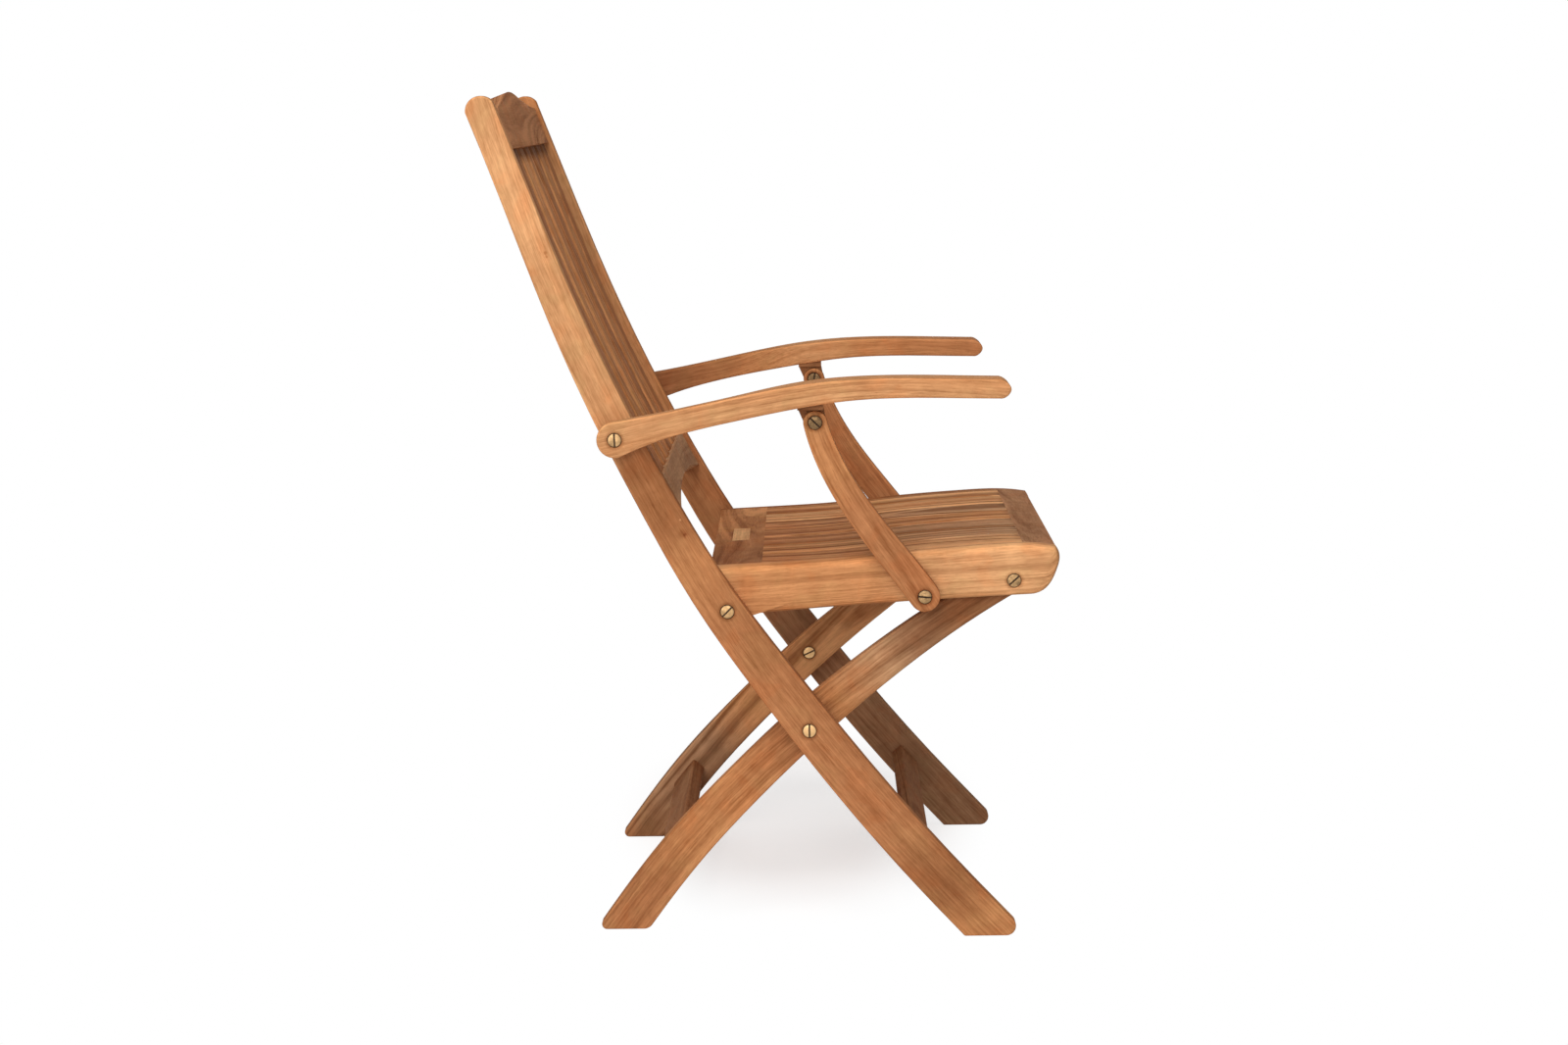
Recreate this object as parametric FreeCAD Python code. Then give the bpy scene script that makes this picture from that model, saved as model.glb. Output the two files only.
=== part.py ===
import FreeCAD, Part
import math
import os

# Folding slatted armchair in solid teak, with brass pivot bolts. Millimetres.
# +X is the way the chair faces, +Y its left, +Z up. The origin lies on the floor
# under the middle of the chair. The chair stands open.

# Main sizes, and the sizes at which the side view's points below are given
CHAIR_HEIGHT = 955.0  # floor to the crowned tops of the stiles
CHAIR_DEPTH = 650.0  # rear of the stiles' tops to the seat's nose
DRAWN_HEIGHT = 955.0
DRAWN_DEPTH = 650.0

# Widths across the chair
FRAME_HALF = 260.0  # middle plane to the outer face of a stile
STILE_THICK = 20.0
SEAT_RAIL_THICK = 20.0
LEG_THICK = 20.0
STRUT_THICK = 20.0
ARM_OVERHANG = 23.0  # outer face of a stile to the outer face of an arm
ARM_REACH_IN = 21.5  # outer face of a stile to the inner face of an arm's front
BOARD_PLAY = 1.0  # between two boards that turn on one another

# Pivots in the side view, X and Z
LEG_PIVOT = (42.3, 240.0)
SEAT_PIVOT = (-47.8, 377.0)
ARM_PIVOT = (-168.0, 574.0)
STRUT_FOOT = (173.0, 391.0)
LEG_TOP = (274.0, 405.0)
SEAT_FOLD = 75.0  # degrees the seat swings up to fold

# Stile: centre line from the top to below the floor as X, Z and width
STILE_LINE = [
    (-309.5, 938.0, 32.5),
    (-257.5, 800.0, 33.5),
    (-218.7, 700.0, 36.5),
    (-174.4, 600.0, 39.0),
    (-124.0, 500.0, 41.0),
    (-67.4, 400.0, 45.0),
    (2.2, 300.0, 49.0),
    (78.0, 200.0, 51.5),
    (160.5, 100.0, 52.5),
    (252.0, 0.0, 53.0),
    (280.5, -30.0, 53.0),
]
STILE_CROWN = 12.0  # rise of the rounded top over its width
STILE_TOP_ROUND = 6.0
STILE_NOSE = 11.0  # rounding of the foot's pointed front corner
STILE_HEEL = 3.0

# Leg: centre line from the foot up as X, Z and width; its round top is at LEG_TOP
LEG_LINE = [
    (-196.0, -30.0, 49.0),
    (-175.0, 0.0, 49.0),
    (-101.5, 96.0, 48.5),
    (-29.5, 172.5, 47.0),
    (42.3, 240.5, 46.0),
    (111.5, 298.0, 43.0),
    (188.5, 354.0, 39.0),
]
LEG_TOP_WIDTH = 34.0
LEG_NOSE = 6.0
LEG_TOE = 12.0

# Strut: bowed centre line from the arm to the seat rail as X, Z and width
STRUT_BOW = [(87.0, 509.0, 30.0), (130.0, 448.0, 33.0)]
STRUT_TOP_WIDTH = 26.6
STRUT_FOOT_WIDTH = 34.0
BRIDLE_SLOT = 8.6  # slot between the strut's two cheeks
BRIDLE_DEPTH = 15.5  # slot reaches this far below the pivot
BRIDLE_TONGUE = 7.8
TONGUE_RADIUS = 12.5

# Seat rail and the surface that its top shares with the slats
SEAT_TOP = [
    (-69.0, 423.4),
    (-13.0, 426.0),
    (80.0, 431.0),
    (162.0, 439.0),
    (240.0, 444.5),
    (295.0, 445.5),
    (321.0, 442.5),
]
SEAT_BOTTOM = [(-20.0, 369.0), (70.0, 376.0), (164.0, 381.7), (293.0, 387.8)]
SEAT_NOSE = [(312.0, 396.2), (322.0, 414.0), (325.5, 433.0)]
SEAT_EAR = 17.0  # radius of the wood round the seat pivot
SEAT_EDGE_ROUND = 12.5  # rounding of the rail's outer top edge and nose

# Seat frame and slats
REAR_RAIL_FROM = -67.0
REAR_RAIL_TO = -9.0
FRONT_RAIL_FROM = 284.5
SEAT_FRAME_THICK = 20.0
SEAT_SLAT_THICK = 16.0
SEAT_SLAT_COUNT = 7
SEAT_SLAT_GAP = 6.0
PLUG_WIDTH = 20.0  # front to rear
PLUG_LENGTH = 94.0  # side to side
PLUG_DEPTH = 8.0
PLUG_CENTRE_X = -37.0

# Back: rails and slats, set out from the stile's centre line
TOP_RAIL_DROP = 50.0  # top of the stile's centre line down to the top rail's lower edge
TOP_RAIL_HEIGHT = 46.0
TOP_RAIL_CROWN = [
    (0.0, 21.3),
    (33.0, 20.2),
    (62.0, 17.3),
    (100.0, 11.8),
    (145.0, 6.8),
    (190.0, 2.2),
    (222.0, 0.3),
]
TOP_RAIL_THICK = 22.0
TOP_RAIL_RECESS = 4.5  # stile's front edge to the rail's front face
LOWER_RAIL_DROP = 57.0  # arm pivot down to the lower rail's top edge
LOWER_RAIL_END = 50.0  # height of the lower rail where it meets the stiles
LOWER_RAIL_ARCH = 20.0  # rise of its arched lower edge
LOWER_RAIL_THICK = 21.0
LOWER_RAIL_RECESS = 5.0
BACK_SLAT_COUNT = 7
BACK_SLAT_WIDTH = 42.0
BACK_SLAT_THICK = 12.0
BACK_SLAT_RECESS = 9.0
BACK_SLAT_TENON = 12.0

# Stretchers lie along the boards that hold them: height, way off the centre line, section
FRONT_STRETCHER_Z = 92.7
FRONT_STRETCHER_BACK = 3.0
FRONT_STRETCHER_THICK = 17.0
FRONT_STRETCHER_WIDTH = 33.0
REAR_STRETCHER_Z = 80.5
REAR_STRETCHER_BACK = 0.0
REAR_STRETCHER_THICK = 18.0
REAR_STRETCHER_WIDTH = 42.0

# Arm: side view and plan
ARM_TOP = [
    (-170.0, 594.0),
    (-102.9, 605.5),
    (-34.8, 619.5),
    (41.9, 633.0),
    (107.5, 638.0),
    (180.0, 638.0),
    (254.0, 636.0),
]
ARM_TIP = [(264.5, 631.8), (268.5, 624.5), (265.0, 617.8)]
ARM_BOTTOM = [
    (256.0, 614.5),
    (190.0, 616.0),
    (85.6, 613.5),
    (41.5, 607.5),
    (-35.1, 593.0),
    (-142.2, 564.0),
]
ARM_END_RADIUS = 20.0
ARM_WIDEN_FROM = -62.0  # X where the arm starts to reach inwards
ARM_WIDEN_TO = 62.0
ARM_PLATE_LENGTH = 29.0
ARM_PLATE_SHIFT = -5.0  # the plate's middle, ahead of the strut's pivot
ARM_PLATE_IN = 18.0  # the plate's reach inwards of the stile's outer face
ARM_PLATE_OUT = 12.0
ARM_PLATE_GAP = 2.0  # over the strut's rounded top

# Slide block in the seat rail's inner groove
GROOVE_HEIGHT = 12.0
GROOVE_DEPTH = 7.0
GROOVE_SLOPE = 4.0  # degrees the groove falls towards the rear
SLIDE_BLOCK_LENGTH = 26.0
SLIDE_BLOCK_PLAY = 0.25
SLIDE_BLOCK_WALL = 2.0  # brass left beyond the end of the leg's pin

# Pivot bolts
BOLT_SHANK = 4.0
BOLT_HEAD = 7.5
BOLT_HEAD_HEIGHT = 3.0
BOLT_DOME = 0.8
BOLT_SLOT = 2.0
BOLT_SLOT_DEPTH = 1.4
BOLT_SINK = 3.0  # depth of the counterbore
BOLT_RING = 0.9  # clearance round the head
FOOT_BOLT_END = 8.5  # wood left between the rail's inner face and the strut's bolt
BOLT_RUN = 0.08  # radial clearance of a turning board on its bolt
OPEN_PIVOT_RUN = 0.35  # radial clearance at the strut's top
SPACER_RADIUS = 11.0
SLEEVE_TURN = 55.0  # a sleeve head's slot against that of its bolt, degrees
LEG_PIVOT_SLOT = 20.0
SEAT_PIVOT_SLOT = 75.0
ARM_PIVOT_SLOT = 88.0
STRUT_TOP_SLOT = -40.0
STRUT_FOOT_SLOT = 5.0
STOP_BOLT_SLOT = 50.0
LEG_TOP_SLOT = 30.0

EDGE_ROUND = 3.0
SLAT_EDGE_ROUND = 2.0
FLAT = 0.01  # edges that leave a plane by less lie in it
PAST = 1.0  # cutting bars run this far past the faces they cut
BEYOND = 1500.0  # clear of the whole chair

# Side view stretched from the drawn sizes to the main sizes
STRETCH_X = CHAIR_DEPTH / DRAWN_DEPTH
STRETCH_Z = CHAIR_HEIGHT / DRAWN_HEIGHT


def stretched(points):
    """Side-view points, with or without a width, at the chair's own depth and height."""
    return [(x * STRETCH_X, z * STRETCH_Z, *width) for x, z, *width in points]


DRAWN_ARM_PIVOT = ARM_PIVOT
PIVOTS = stretched([LEG_PIVOT, SEAT_PIVOT, ARM_PIVOT, STRUT_FOOT, LEG_TOP])
LEG_PIVOT, SEAT_PIVOT, ARM_PIVOT, STRUT_FOOT, LEG_TOP = PIVOTS
STILE_LINE = stretched(STILE_LINE)
LEG_LINE = [*stretched(LEG_LINE), (*LEG_TOP, LEG_TOP_WIDTH)]
STRUT_BOW = stretched(STRUT_BOW)
SEAT_TOP = stretched(SEAT_TOP)
SEAT_BOTTOM = stretched(SEAT_BOTTOM)
SEAT_NOSE = stretched(SEAT_NOSE)
TOP_RAIL_Z = STILE_LINE[0][1] - TOP_RAIL_DROP
LOWER_RAIL_Z = ARM_PIVOT[1] - LOWER_RAIL_DROP

# Layers, from the middle plane outwards
STILE_OUT = FRAME_HALF
STILE_IN = STILE_OUT - STILE_THICK
RAIL_OUT = STILE_IN - BOARD_PLAY
RAIL_IN = RAIL_OUT - SEAT_RAIL_THICK
LEG_OUT = RAIL_IN - BOARD_PLAY
LEG_IN = LEG_OUT - LEG_THICK
STRUT_OUT = RAIL_OUT + BOARD_PLAY + STRUT_THICK
STRUT_IN = RAIL_OUT + BOARD_PLAY
ARM_OUT = STILE_OUT + ARM_OVERHANG
ARM_CHEEK_IN = STILE_OUT + BOARD_PLAY
ARM_FRONT_IN = STILE_OUT - ARM_REACH_IN
STRUT_TOP = (
    ARM_PIVOT[0] + STRUT_FOOT[0] - SEAT_PIVOT[0],
    ARM_PIVOT[1] + STRUT_FOOT[1] - SEAT_PIVOT[1],
)


def vec(x, z, y=0.0):
    return FreeCAD.Vector(x, y, z)


def spline(points, y=0.0):
    """Smooth edge through side-view points."""
    curve = Part.BSplineCurve()
    curve.interpolate([vec(x, z, y) for x, z in points])
    return curve.toShape()


def line(a, b, y=0.0):
    return Part.makeLine(vec(a[0], a[1], y), vec(b[0], b[1], y))


def arc(a, b, c, y=0.0):
    return Part.Arc(vec(a[0], a[1], y), vec(b[0], b[1], y), vec(c[0], c[1], y)).toShape()


def slab(edges, y_from, y_to):
    """Side-view outline at y 0 made into a board between two values of y."""
    wire = Part.Wire(Part.__sortEdges__(edges))
    face = Part.Face(wire)
    face.translate(FreeCAD.Vector(0, y_from, 0))
    return face.extrude(FreeCAD.Vector(0, y_to - y_from, 0))


def box(x_from, x_to, y_from, y_to, z_from, z_to):
    size = (x_to - x_from, y_to - y_from, z_to - z_from)
    return Part.makeBox(*size, FreeCAD.Vector(x_from, y_from, z_from))


def rod(centre, radius, y_from, y_to):
    """Round bar along Y about a side-view point."""
    low = min(y_from, y_to)
    start = vec(centre[0], centre[1], low)
    return Part.makeCylinder(radius, abs(y_to - y_from), start, FreeCAD.Vector(0, 1, 0))


def centre_curve(stations):
    curve = Part.BSplineCurve()
    curve.interpolate([vec(x, z) for x, z, _ in stations])
    return curve


def side_points(stations):
    """Points half a width to each side of a centre line."""
    curve = centre_curve(stations)
    left = []
    right = []
    for x, z, width in stations:
        along = curve.tangent(curve.parameter(vec(x, z)))[0]
        nx = -along.z * width / 2
        nz = along.x * width / 2
        left.append((x + nx, z + nz))
        right.append((x - nx, z - nz))
    return left, right


def point_at_height(stations, z):
    """Point on a falling centre line at one height, with its unit tangent upwards."""
    curve = centre_curve(stations)
    low = curve.FirstParameter
    high = curve.LastParameter
    rises = curve.value(high).z > curve.value(low).z
    for _ in range(50):
        mid = (low + high) / 2
        if (curve.value(mid).z < z) == rises:
            low = mid
        else:
            high = mid
    along = curve.tangent(low)[0]
    if along.z < 0:
        along = along.multiply(-1)
    return curve.value(low), along


def width_at(stations, z):
    """Width of a board at one height, between its stations."""
    ordered = sorted((s[1], s[2]) for s in stations)
    for (z0, w0), (z1, w1) in zip(ordered[:-1], ordered[1:]):
        if z0 <= z <= z1:
            return w0 + (w1 - w0) * (z - z0) / (z1 - z0)
    return ordered[-1][1]


def round_edges(solid, radius, choose):
    """Round the edges that a test picks, or leave the solid if none is picked."""
    edges = [edge for edge in solid.Edges if choose(edge)]
    if not edges:
        return solid
    return solid.makeFillet(radius, edges)


def on_faces(*y_values):
    """Test for edges that lie in one of some side planes."""

    def choose(edge):
        b = edge.BoundBox
        return b.YLength < FLAT and any(abs(b.YMin - y) < FLAT for y in y_values)

    return choose


def straight_across(edge):
    return edge.BoundBox.XLength < FLAT and edge.BoundBox.ZLength < FLAT


def round_corner(board, radius, x, z):
    """Round the corner of a board's outline that is nearest to a side-view point."""

    def distance(edge):
        return math.hypot(edge.BoundBox.XMin - x, edge.BoundBox.ZMin - z)

    across = [edge for edge in board.Edges if straight_across(edge)]
    return board.makeFillet(radius, [min(across, key=distance)])


def on_floor(board):
    """A board cut off level with the floor."""
    return board.cut(box(-BEYOND, BEYOND, -BEYOND, BEYOND, -BEYOND, 0))


def end_point(curve, at_start, reach):
    """Side-view point beyond one end of a centre line, along its tangent."""
    parameter = curve.FirstParameter if at_start else curve.LastParameter
    along = curve.tangent(parameter)[0]
    sign = -1 if at_start else 1
    end = curve.value(parameter)
    return (end.x + sign * along.x * reach, end.z + sign * along.z * reach)


def slot_bar(centre, angle, y_from, y_to):
    """Narrow bar that cuts a screwdriver slot."""
    low = min(y_from, y_to)
    bar = Part.makeBox(
        4 * BOLT_HEAD,
        abs(y_to - y_from),
        BOLT_SLOT,
        FreeCAD.Vector(-2 * BOLT_HEAD, low, -BOLT_SLOT / 2),
    )
    bar.rotate(FreeCAD.Vector(0, 0, 0), FreeCAD.Vector(0, 1, 0), angle)
    bar.translate(vec(centre[0], centre[1]))
    return bar


def bolt_head(centre, face_y, outward, angle):
    """Domed, slotted head sunk in a counterbore of the face at face_y."""
    base = face_y - outward * BOLT_SINK
    rim = BOLT_HEAD_HEIGHT - BOLT_DOME
    profile = Part.Wire(
        [
            Part.makeLine(FreeCAD.Vector(0, 0, 0), FreeCAD.Vector(BOLT_HEAD, 0, 0)),
            Part.makeLine(FreeCAD.Vector(BOLT_HEAD, 0, 0), FreeCAD.Vector(BOLT_HEAD, rim, 0)),
            Part.Arc(
                FreeCAD.Vector(BOLT_HEAD, rim, 0),
                FreeCAD.Vector(BOLT_HEAD * 0.6, rim + BOLT_DOME * 0.72, 0),
                FreeCAD.Vector(0, rim + BOLT_DOME, 0),
            ).toShape(),
            Part.makeLine(FreeCAD.Vector(0, rim + BOLT_DOME, 0), FreeCAD.Vector(0, 0, 0)),
        ]
    )
    head = Part.Face(profile).revolve(FreeCAD.Vector(0, 0, 0), FreeCAD.Vector(0, 1, 0), 360)
    if outward < 0:
        head.rotate(FreeCAD.Vector(0, 0, 0), FreeCAD.Vector(1, 0, 0), 180)
    head.translate(vec(centre[0], centre[1], base))
    crown = base + outward * BOLT_HEAD_HEIGHT
    return head.cut(slot_bar(centre, angle, crown - outward * BOLT_SLOT_DEPTH, crown + outward))


def pivot_bolt(centre, out_face, in_end, angle, in_head):
    """Bolt along Y on the chair's left: head outside, and a sleeve head inside or a blind end."""
    outer = out_face - BOLT_SINK
    inner = in_end + (BOLT_SINK if in_head else 0.0)
    bolt = rod(centre, BOLT_SHANK, inner, outer).fuse(bolt_head(centre, out_face, 1, angle))
    if in_head:
        bolt = bolt.fuse(bolt_head(centre, in_end, -1, angle + SLEEVE_TURN))
    return bolt.removeSplitter()


def counterbore(centre, face_y, outward):
    low = face_y - outward * BOLT_SINK
    return rod(centre, BOLT_HEAD + BOLT_RING, low, face_y + outward * PAST)


def bolt_hole(centre, y_from, y_to, play):
    return rod(centre, BOLT_SHANK + play, y_from - PAST, y_to + PAST)


# Stile
def build_stile():
    left, right = side_points(STILE_LINE)
    apex = end_point(centre_curve(STILE_LINE), True, STILE_CROWN)
    edges = [
        spline(left),
        line(left[-1], right[-1]),
        spline(right),
        arc(left[0], apex, right[0]),
    ]
    stile = on_floor(slab(edges, STILE_IN, STILE_OUT))
    stile = round_corner(stile, STILE_TOP_ROUND, *left[0])
    stile = round_corner(stile, STILE_TOP_ROUND, *right[0])
    stile = round_corner(stile, STILE_NOSE, BEYOND, 0)
    stile = round_corner(stile, STILE_HEEL, 0, 0)
    stile = round_edges(stile, EDGE_ROUND, on_faces(STILE_IN, STILE_OUT))
    stile = stile.cut(counterbore(LEG_PIVOT, STILE_OUT, 1))
    stile = stile.cut(counterbore(SEAT_PIVOT, STILE_OUT, 1))
    stile = stile.cut(counterbore(ARM_PIVOT, STILE_IN, -1))
    for pivot in (LEG_PIVOT, SEAT_PIVOT, ARM_PIVOT):
        stile = stile.cut(bolt_hole(pivot, STILE_IN, STILE_OUT, 0))
    return stile


# Leg
def build_leg():
    left, right = side_points(LEG_LINE)
    apex = end_point(centre_curve(LEG_LINE), False, LEG_LINE[-1][2] / 2)
    edges = [
        spline(left),
        arc(left[-1], apex, right[-1]),
        spline(right),
        line(left[0], right[0]),
    ]
    leg = on_floor(slab(edges, LEG_IN, LEG_OUT))
    leg = round_corner(leg, LEG_NOSE, -BEYOND, 0)
    leg = round_corner(leg, LEG_TOE, 0, 0)
    leg = round_edges(leg, EDGE_ROUND, on_faces(LEG_IN, LEG_OUT))
    for pivot, play in ((LEG_PIVOT, BOLT_RUN), (LEG_TOP, 0)):
        leg = leg.cut(counterbore(pivot, LEG_IN, -1))
        leg = leg.cut(bolt_hole(pivot, LEG_IN, LEG_OUT, play))
    return leg


# Strut with a bridle at its top
def build_strut():
    line_of = [
        (STRUT_TOP[0], STRUT_TOP[1], STRUT_TOP_WIDTH),
        *STRUT_BOW,
        (STRUT_FOOT[0], STRUT_FOOT[1], STRUT_FOOT_WIDTH),
    ]
    left, right = side_points(line_of)
    curve = centre_curve(line_of)
    top = end_point(curve, True, STRUT_TOP_WIDTH / 2)
    foot = end_point(curve, False, STRUT_FOOT_WIDTH / 2)
    edges = [
        spline(left),
        arc(left[-1], foot, right[-1]),
        spline(right),
        arc(left[0], top, right[0]),
    ]
    strut = slab(edges, STRUT_IN, STRUT_OUT)
    strut = round_edges(strut, EDGE_ROUND, on_faces(STRUT_IN, STRUT_OUT))
    middle = (STRUT_IN + STRUT_OUT) / 2
    slot = Part.makeBox(
        BRIDLE_DEPTH + STRUT_TOP_WIDTH,
        BRIDLE_SLOT,
        2 * STRUT_TOP_WIDTH,
        FreeCAD.Vector(-BRIDLE_DEPTH, middle - BRIDLE_SLOT / 2, -STRUT_TOP_WIDTH),
    )
    slot.rotate(
        FreeCAD.Vector(0, 0, 0),
        FreeCAD.Vector(0, 1, 0),
        -math.degrees(math.atan2(top[1] - STRUT_TOP[1], top[0] - STRUT_TOP[0])),
    )
    slot.translate(vec(*STRUT_TOP))
    strut = strut.cut(slot)
    strut = strut.cut(counterbore(STRUT_FOOT, STRUT_OUT, 1))
    strut = strut.cut(bolt_hole(STRUT_FOOT, STRUT_IN, STRUT_OUT, BOLT_RUN))
    strut = strut.cut(counterbore(STRUT_TOP, STRUT_OUT, 1))
    strut = strut.cut(counterbore(STRUT_TOP, STRUT_IN, -1))
    return strut.cut(bolt_hole(STRUT_TOP, STRUT_IN, STRUT_OUT, OPEN_PIVOT_RUN))


def between_x(x_from, x_to):
    """All space between two places along the drawn side view."""
    return box(x_from * STRETCH_X, x_to * STRETCH_X, -BEYOND, BEYOND, -BEYOND, BEYOND)


# Seat: one section shared by rails, slats and cross rails
def seat_section(thick, y_from, y_to):
    """Layer under the seat's curved top, over the whole depth of the seat."""
    low = [(x, z - thick) for x, z in SEAT_TOP]
    edges = [spline(SEAT_TOP), line(SEAT_TOP[-1], low[-1]), spline(low), line(low[0], SEAT_TOP[0])]
    return slab(edges, y_from, y_to)


def seat_rail_outline(y_from, y_to):
    rear_foot = (SEAT_PIVOT[0] - SEAT_EAR, SEAT_PIVOT[1])
    ear_low = (SEAT_PIVOT[0], SEAT_PIVOT[1] - SEAT_EAR)
    ear_mid = (
        SEAT_PIVOT[0] - SEAT_EAR * math.sqrt(0.5),
        SEAT_PIVOT[1] - SEAT_EAR * math.sqrt(0.5),
    )
    edges = [
        spline(SEAT_TOP),
        spline([SEAT_TOP[-1], *reversed(SEAT_NOSE), SEAT_BOTTOM[-1]]),
        spline(SEAT_BOTTOM),
        line(SEAT_BOTTOM[0], ear_low),
        arc(ear_low, ear_mid, rear_foot),
        line(rear_foot, SEAT_TOP[0]),
    ]
    return slab(edges, y_from, y_to)


def groove_bar(back, ahead, height, y_from, y_to):
    """Bar with round ends along the groove, reaching back and ahead of the open leg pin."""
    radius = height / 2
    x_from = LEG_TOP[0] - back
    x_to = LEG_TOP[0] + ahead
    bar = box(x_from, x_to, y_from, y_to, LEG_TOP[1] - radius, LEG_TOP[1] + radius)
    bar = bar.fuse(rod((x_from, LEG_TOP[1]), radius, y_from, y_to))
    bar = bar.fuse(rod((x_to, LEG_TOP[1]), radius, y_from, y_to)).removeSplitter()
    bar.rotate(vec(*LEG_TOP), FreeCAD.Vector(0, -1, 0), GROOVE_SLOPE)
    return bar


def pin_travel():
    """How far the leg pin slides back along the groove when the seat folds, and the leg's swing."""
    turn = math.radians(SEAT_FOLD)
    span_x = LEG_TOP[0] - SEAT_PIVOT[0]
    span_z = LEG_TOP[1] - SEAT_PIVOT[1]
    open_x = SEAT_PIVOT[0] + span_x * math.cos(turn) - span_z * math.sin(turn) - LEG_PIVOT[0]
    open_z = SEAT_PIVOT[1] + span_x * math.sin(turn) + span_z * math.cos(turn) - LEG_PIVOT[1]
    leg = math.hypot(LEG_TOP[0] - LEG_PIVOT[0], LEG_TOP[1] - LEG_PIVOT[1])
    way = turn + math.radians(GROOVE_SLOPE)
    along = open_x * math.cos(way) + open_z * math.sin(way)
    travel = along - math.sqrt(along * along - open_x * open_x - open_z * open_z + leg * leg)
    end_x = open_x - travel * math.cos(way)
    end_z = open_z - travel * math.sin(way)
    swing = math.atan2(end_z, end_x)
    swing -= math.atan2(LEG_TOP[1] - LEG_PIVOT[1], LEG_TOP[0] - LEG_PIVOT[0])
    return travel, math.degrees(swing)


def build_seat_rail():
    rail = seat_rail_outline(RAIL_IN, RAIL_OUT)
    outer = on_faces(RAIL_OUT)
    front = SEAT_TOP[-1][0] - FLAT
    rail = round_edges(rail, SEAT_EDGE_ROUND, lambda e: outer(e) and e.BoundBox.XMax > front)
    travel, _ = pin_travel()
    half = (SLIDE_BLOCK_LENGTH - GROOVE_HEIGHT) / 2 + SLIDE_BLOCK_PLAY
    groove = groove_bar(travel + half, half, GROOVE_HEIGHT, RAIL_IN - PAST, RAIL_IN + GROOVE_DEPTH)
    rail = rail.cut(groove)
    rail = rail.cut(bolt_hole(SEAT_PIVOT, RAIL_IN, RAIL_OUT, BOLT_RUN))
    rail = rail.cut(counterbore(SEAT_PIVOT, RAIL_IN, -1))
    rail = rail.cut(counterbore(LEG_TOP, RAIL_OUT, 1))
    rail = rail.cut(bolt_hole(LEG_TOP, RAIL_IN, RAIL_OUT, 0))
    return rail.cut(rod(STRUT_FOOT, BOLT_SHANK, RAIL_IN + FOOT_BOLT_END, RAIL_OUT + PAST))


def build_slide_block():
    half = (SLIDE_BLOCK_LENGTH - GROOVE_HEIGHT) / 2
    height = GROOVE_HEIGHT - 2 * SLIDE_BLOCK_PLAY
    y_from = RAIL_IN + SLIDE_BLOCK_PLAY
    y_to = RAIL_IN + GROOVE_DEPTH - SLIDE_BLOCK_PLAY
    block = groove_bar(half, half, height, y_from, y_to)
    hole = rod(LEG_TOP, BOLT_SHANK + BOLT_RUN, y_from - PAST, y_to - SLIDE_BLOCK_WALL)
    return block.cut(hole)


def top_side(edge):
    """Whether an edge runs along X on the upper side of a seat piece."""
    b = edge.BoundBox
    return b.YLength < FLAT < b.XLength and b.ZMin > SEAT_TOP[0][1] - FLAT


def build_seat_slats():
    pitch = (2 * RAIL_IN + SEAT_SLAT_GAP) / SEAT_SLAT_COUNT
    width = pitch - SEAT_SLAT_GAP
    slats = []
    for index in range(SEAT_SLAT_COUNT):
        y_from = -RAIL_IN + index * pitch
        body = seat_section(SEAT_SLAT_THICK, y_from, y_from + width)
        body = body.common(between_x(REAR_RAIL_TO, FRONT_RAIL_FROM))
        slats.append(round_edges(body, SLAT_EDGE_ROUND, top_side))
    return slats


def build_seat_front_rail():
    body = seat_rail_outline(-RAIL_IN, RAIL_IN)
    front = body.common(between_x(FRONT_RAIL_FROM, BEYOND))
    low = seat_section(SEAT_FRAME_THICK, -RAIL_IN, RAIL_IN)
    return front.common(low)


def build_seat_rear_rail():
    body = seat_section(SEAT_FRAME_THICK, -RAIL_IN, RAIL_IN)
    body = body.common(between_x(REAR_RAIL_FROM, REAR_RAIL_TO))
    return body.cut(plug_bar())


def plug_bar():
    half = PLUG_LENGTH / 2
    x_from = PLUG_CENTRE_X * STRETCH_X - PLUG_WIDTH / 2
    return box(x_from, x_from + PLUG_WIDTH, -half, half, SEAT_TOP[0][1] - PLUG_DEPTH, BEYOND)


def build_seat_plug():
    return plug_bar().common(seat_section(SEAT_FRAME_THICK, -RAIL_IN, RAIL_IN))


# Back
def back_frame_at(z):
    """Point on the stile's centre line, the way up along it and the way forwards."""
    point, up = point_at_height(STILE_LINE, z)
    return point, up, FreeCAD.Vector(up.z, 0, -up.x)


def rail_across(outline, z, recess, thick):
    """Front-view outline (Y, height along the back) made into a rail between the stiles."""
    point, up, forward = back_frame_at(z)
    front = width_at(STILE_LINE, z) / 2 - recess
    face = Part.Face(Part.Wire(Part.__sortEdges__(outline)))
    solid = face.extrude(FreeCAD.Vector(-thick, 0, 0))
    lean = math.degrees(math.atan2(up.x, up.z))
    solid.rotate(FreeCAD.Vector(0, 0, 0), FreeCAD.Vector(0, 1, 0), lean)
    solid.translate(point + forward * front)
    return solid


def build_top_rail():
    crown = [(STILE_IN, 0.0), *reversed(TOP_RAIL_CROWN)]
    right = [(-y, rise) for y, rise in reversed(crown)]
    points = [(y, TOP_RAIL_HEIGHT + rise) for y, rise in crown + right[1:]]
    curve = Part.BSplineCurve()
    curve.interpolate([FreeCAD.Vector(0, y, h) for y, h in points])
    corners = [(points[-1][0], points[-1][1]), (-STILE_IN, 0.0), (STILE_IN, 0.0), points[0]]
    outline = [curve.toShape()]
    for a, b in zip(corners[:-1], corners[1:]):
        outline.append(Part.makeLine(FreeCAD.Vector(0, *a), FreeCAD.Vector(0, *b)))
    return rail_across(outline, TOP_RAIL_Z, TOP_RAIL_RECESS, TOP_RAIL_THICK)


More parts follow.
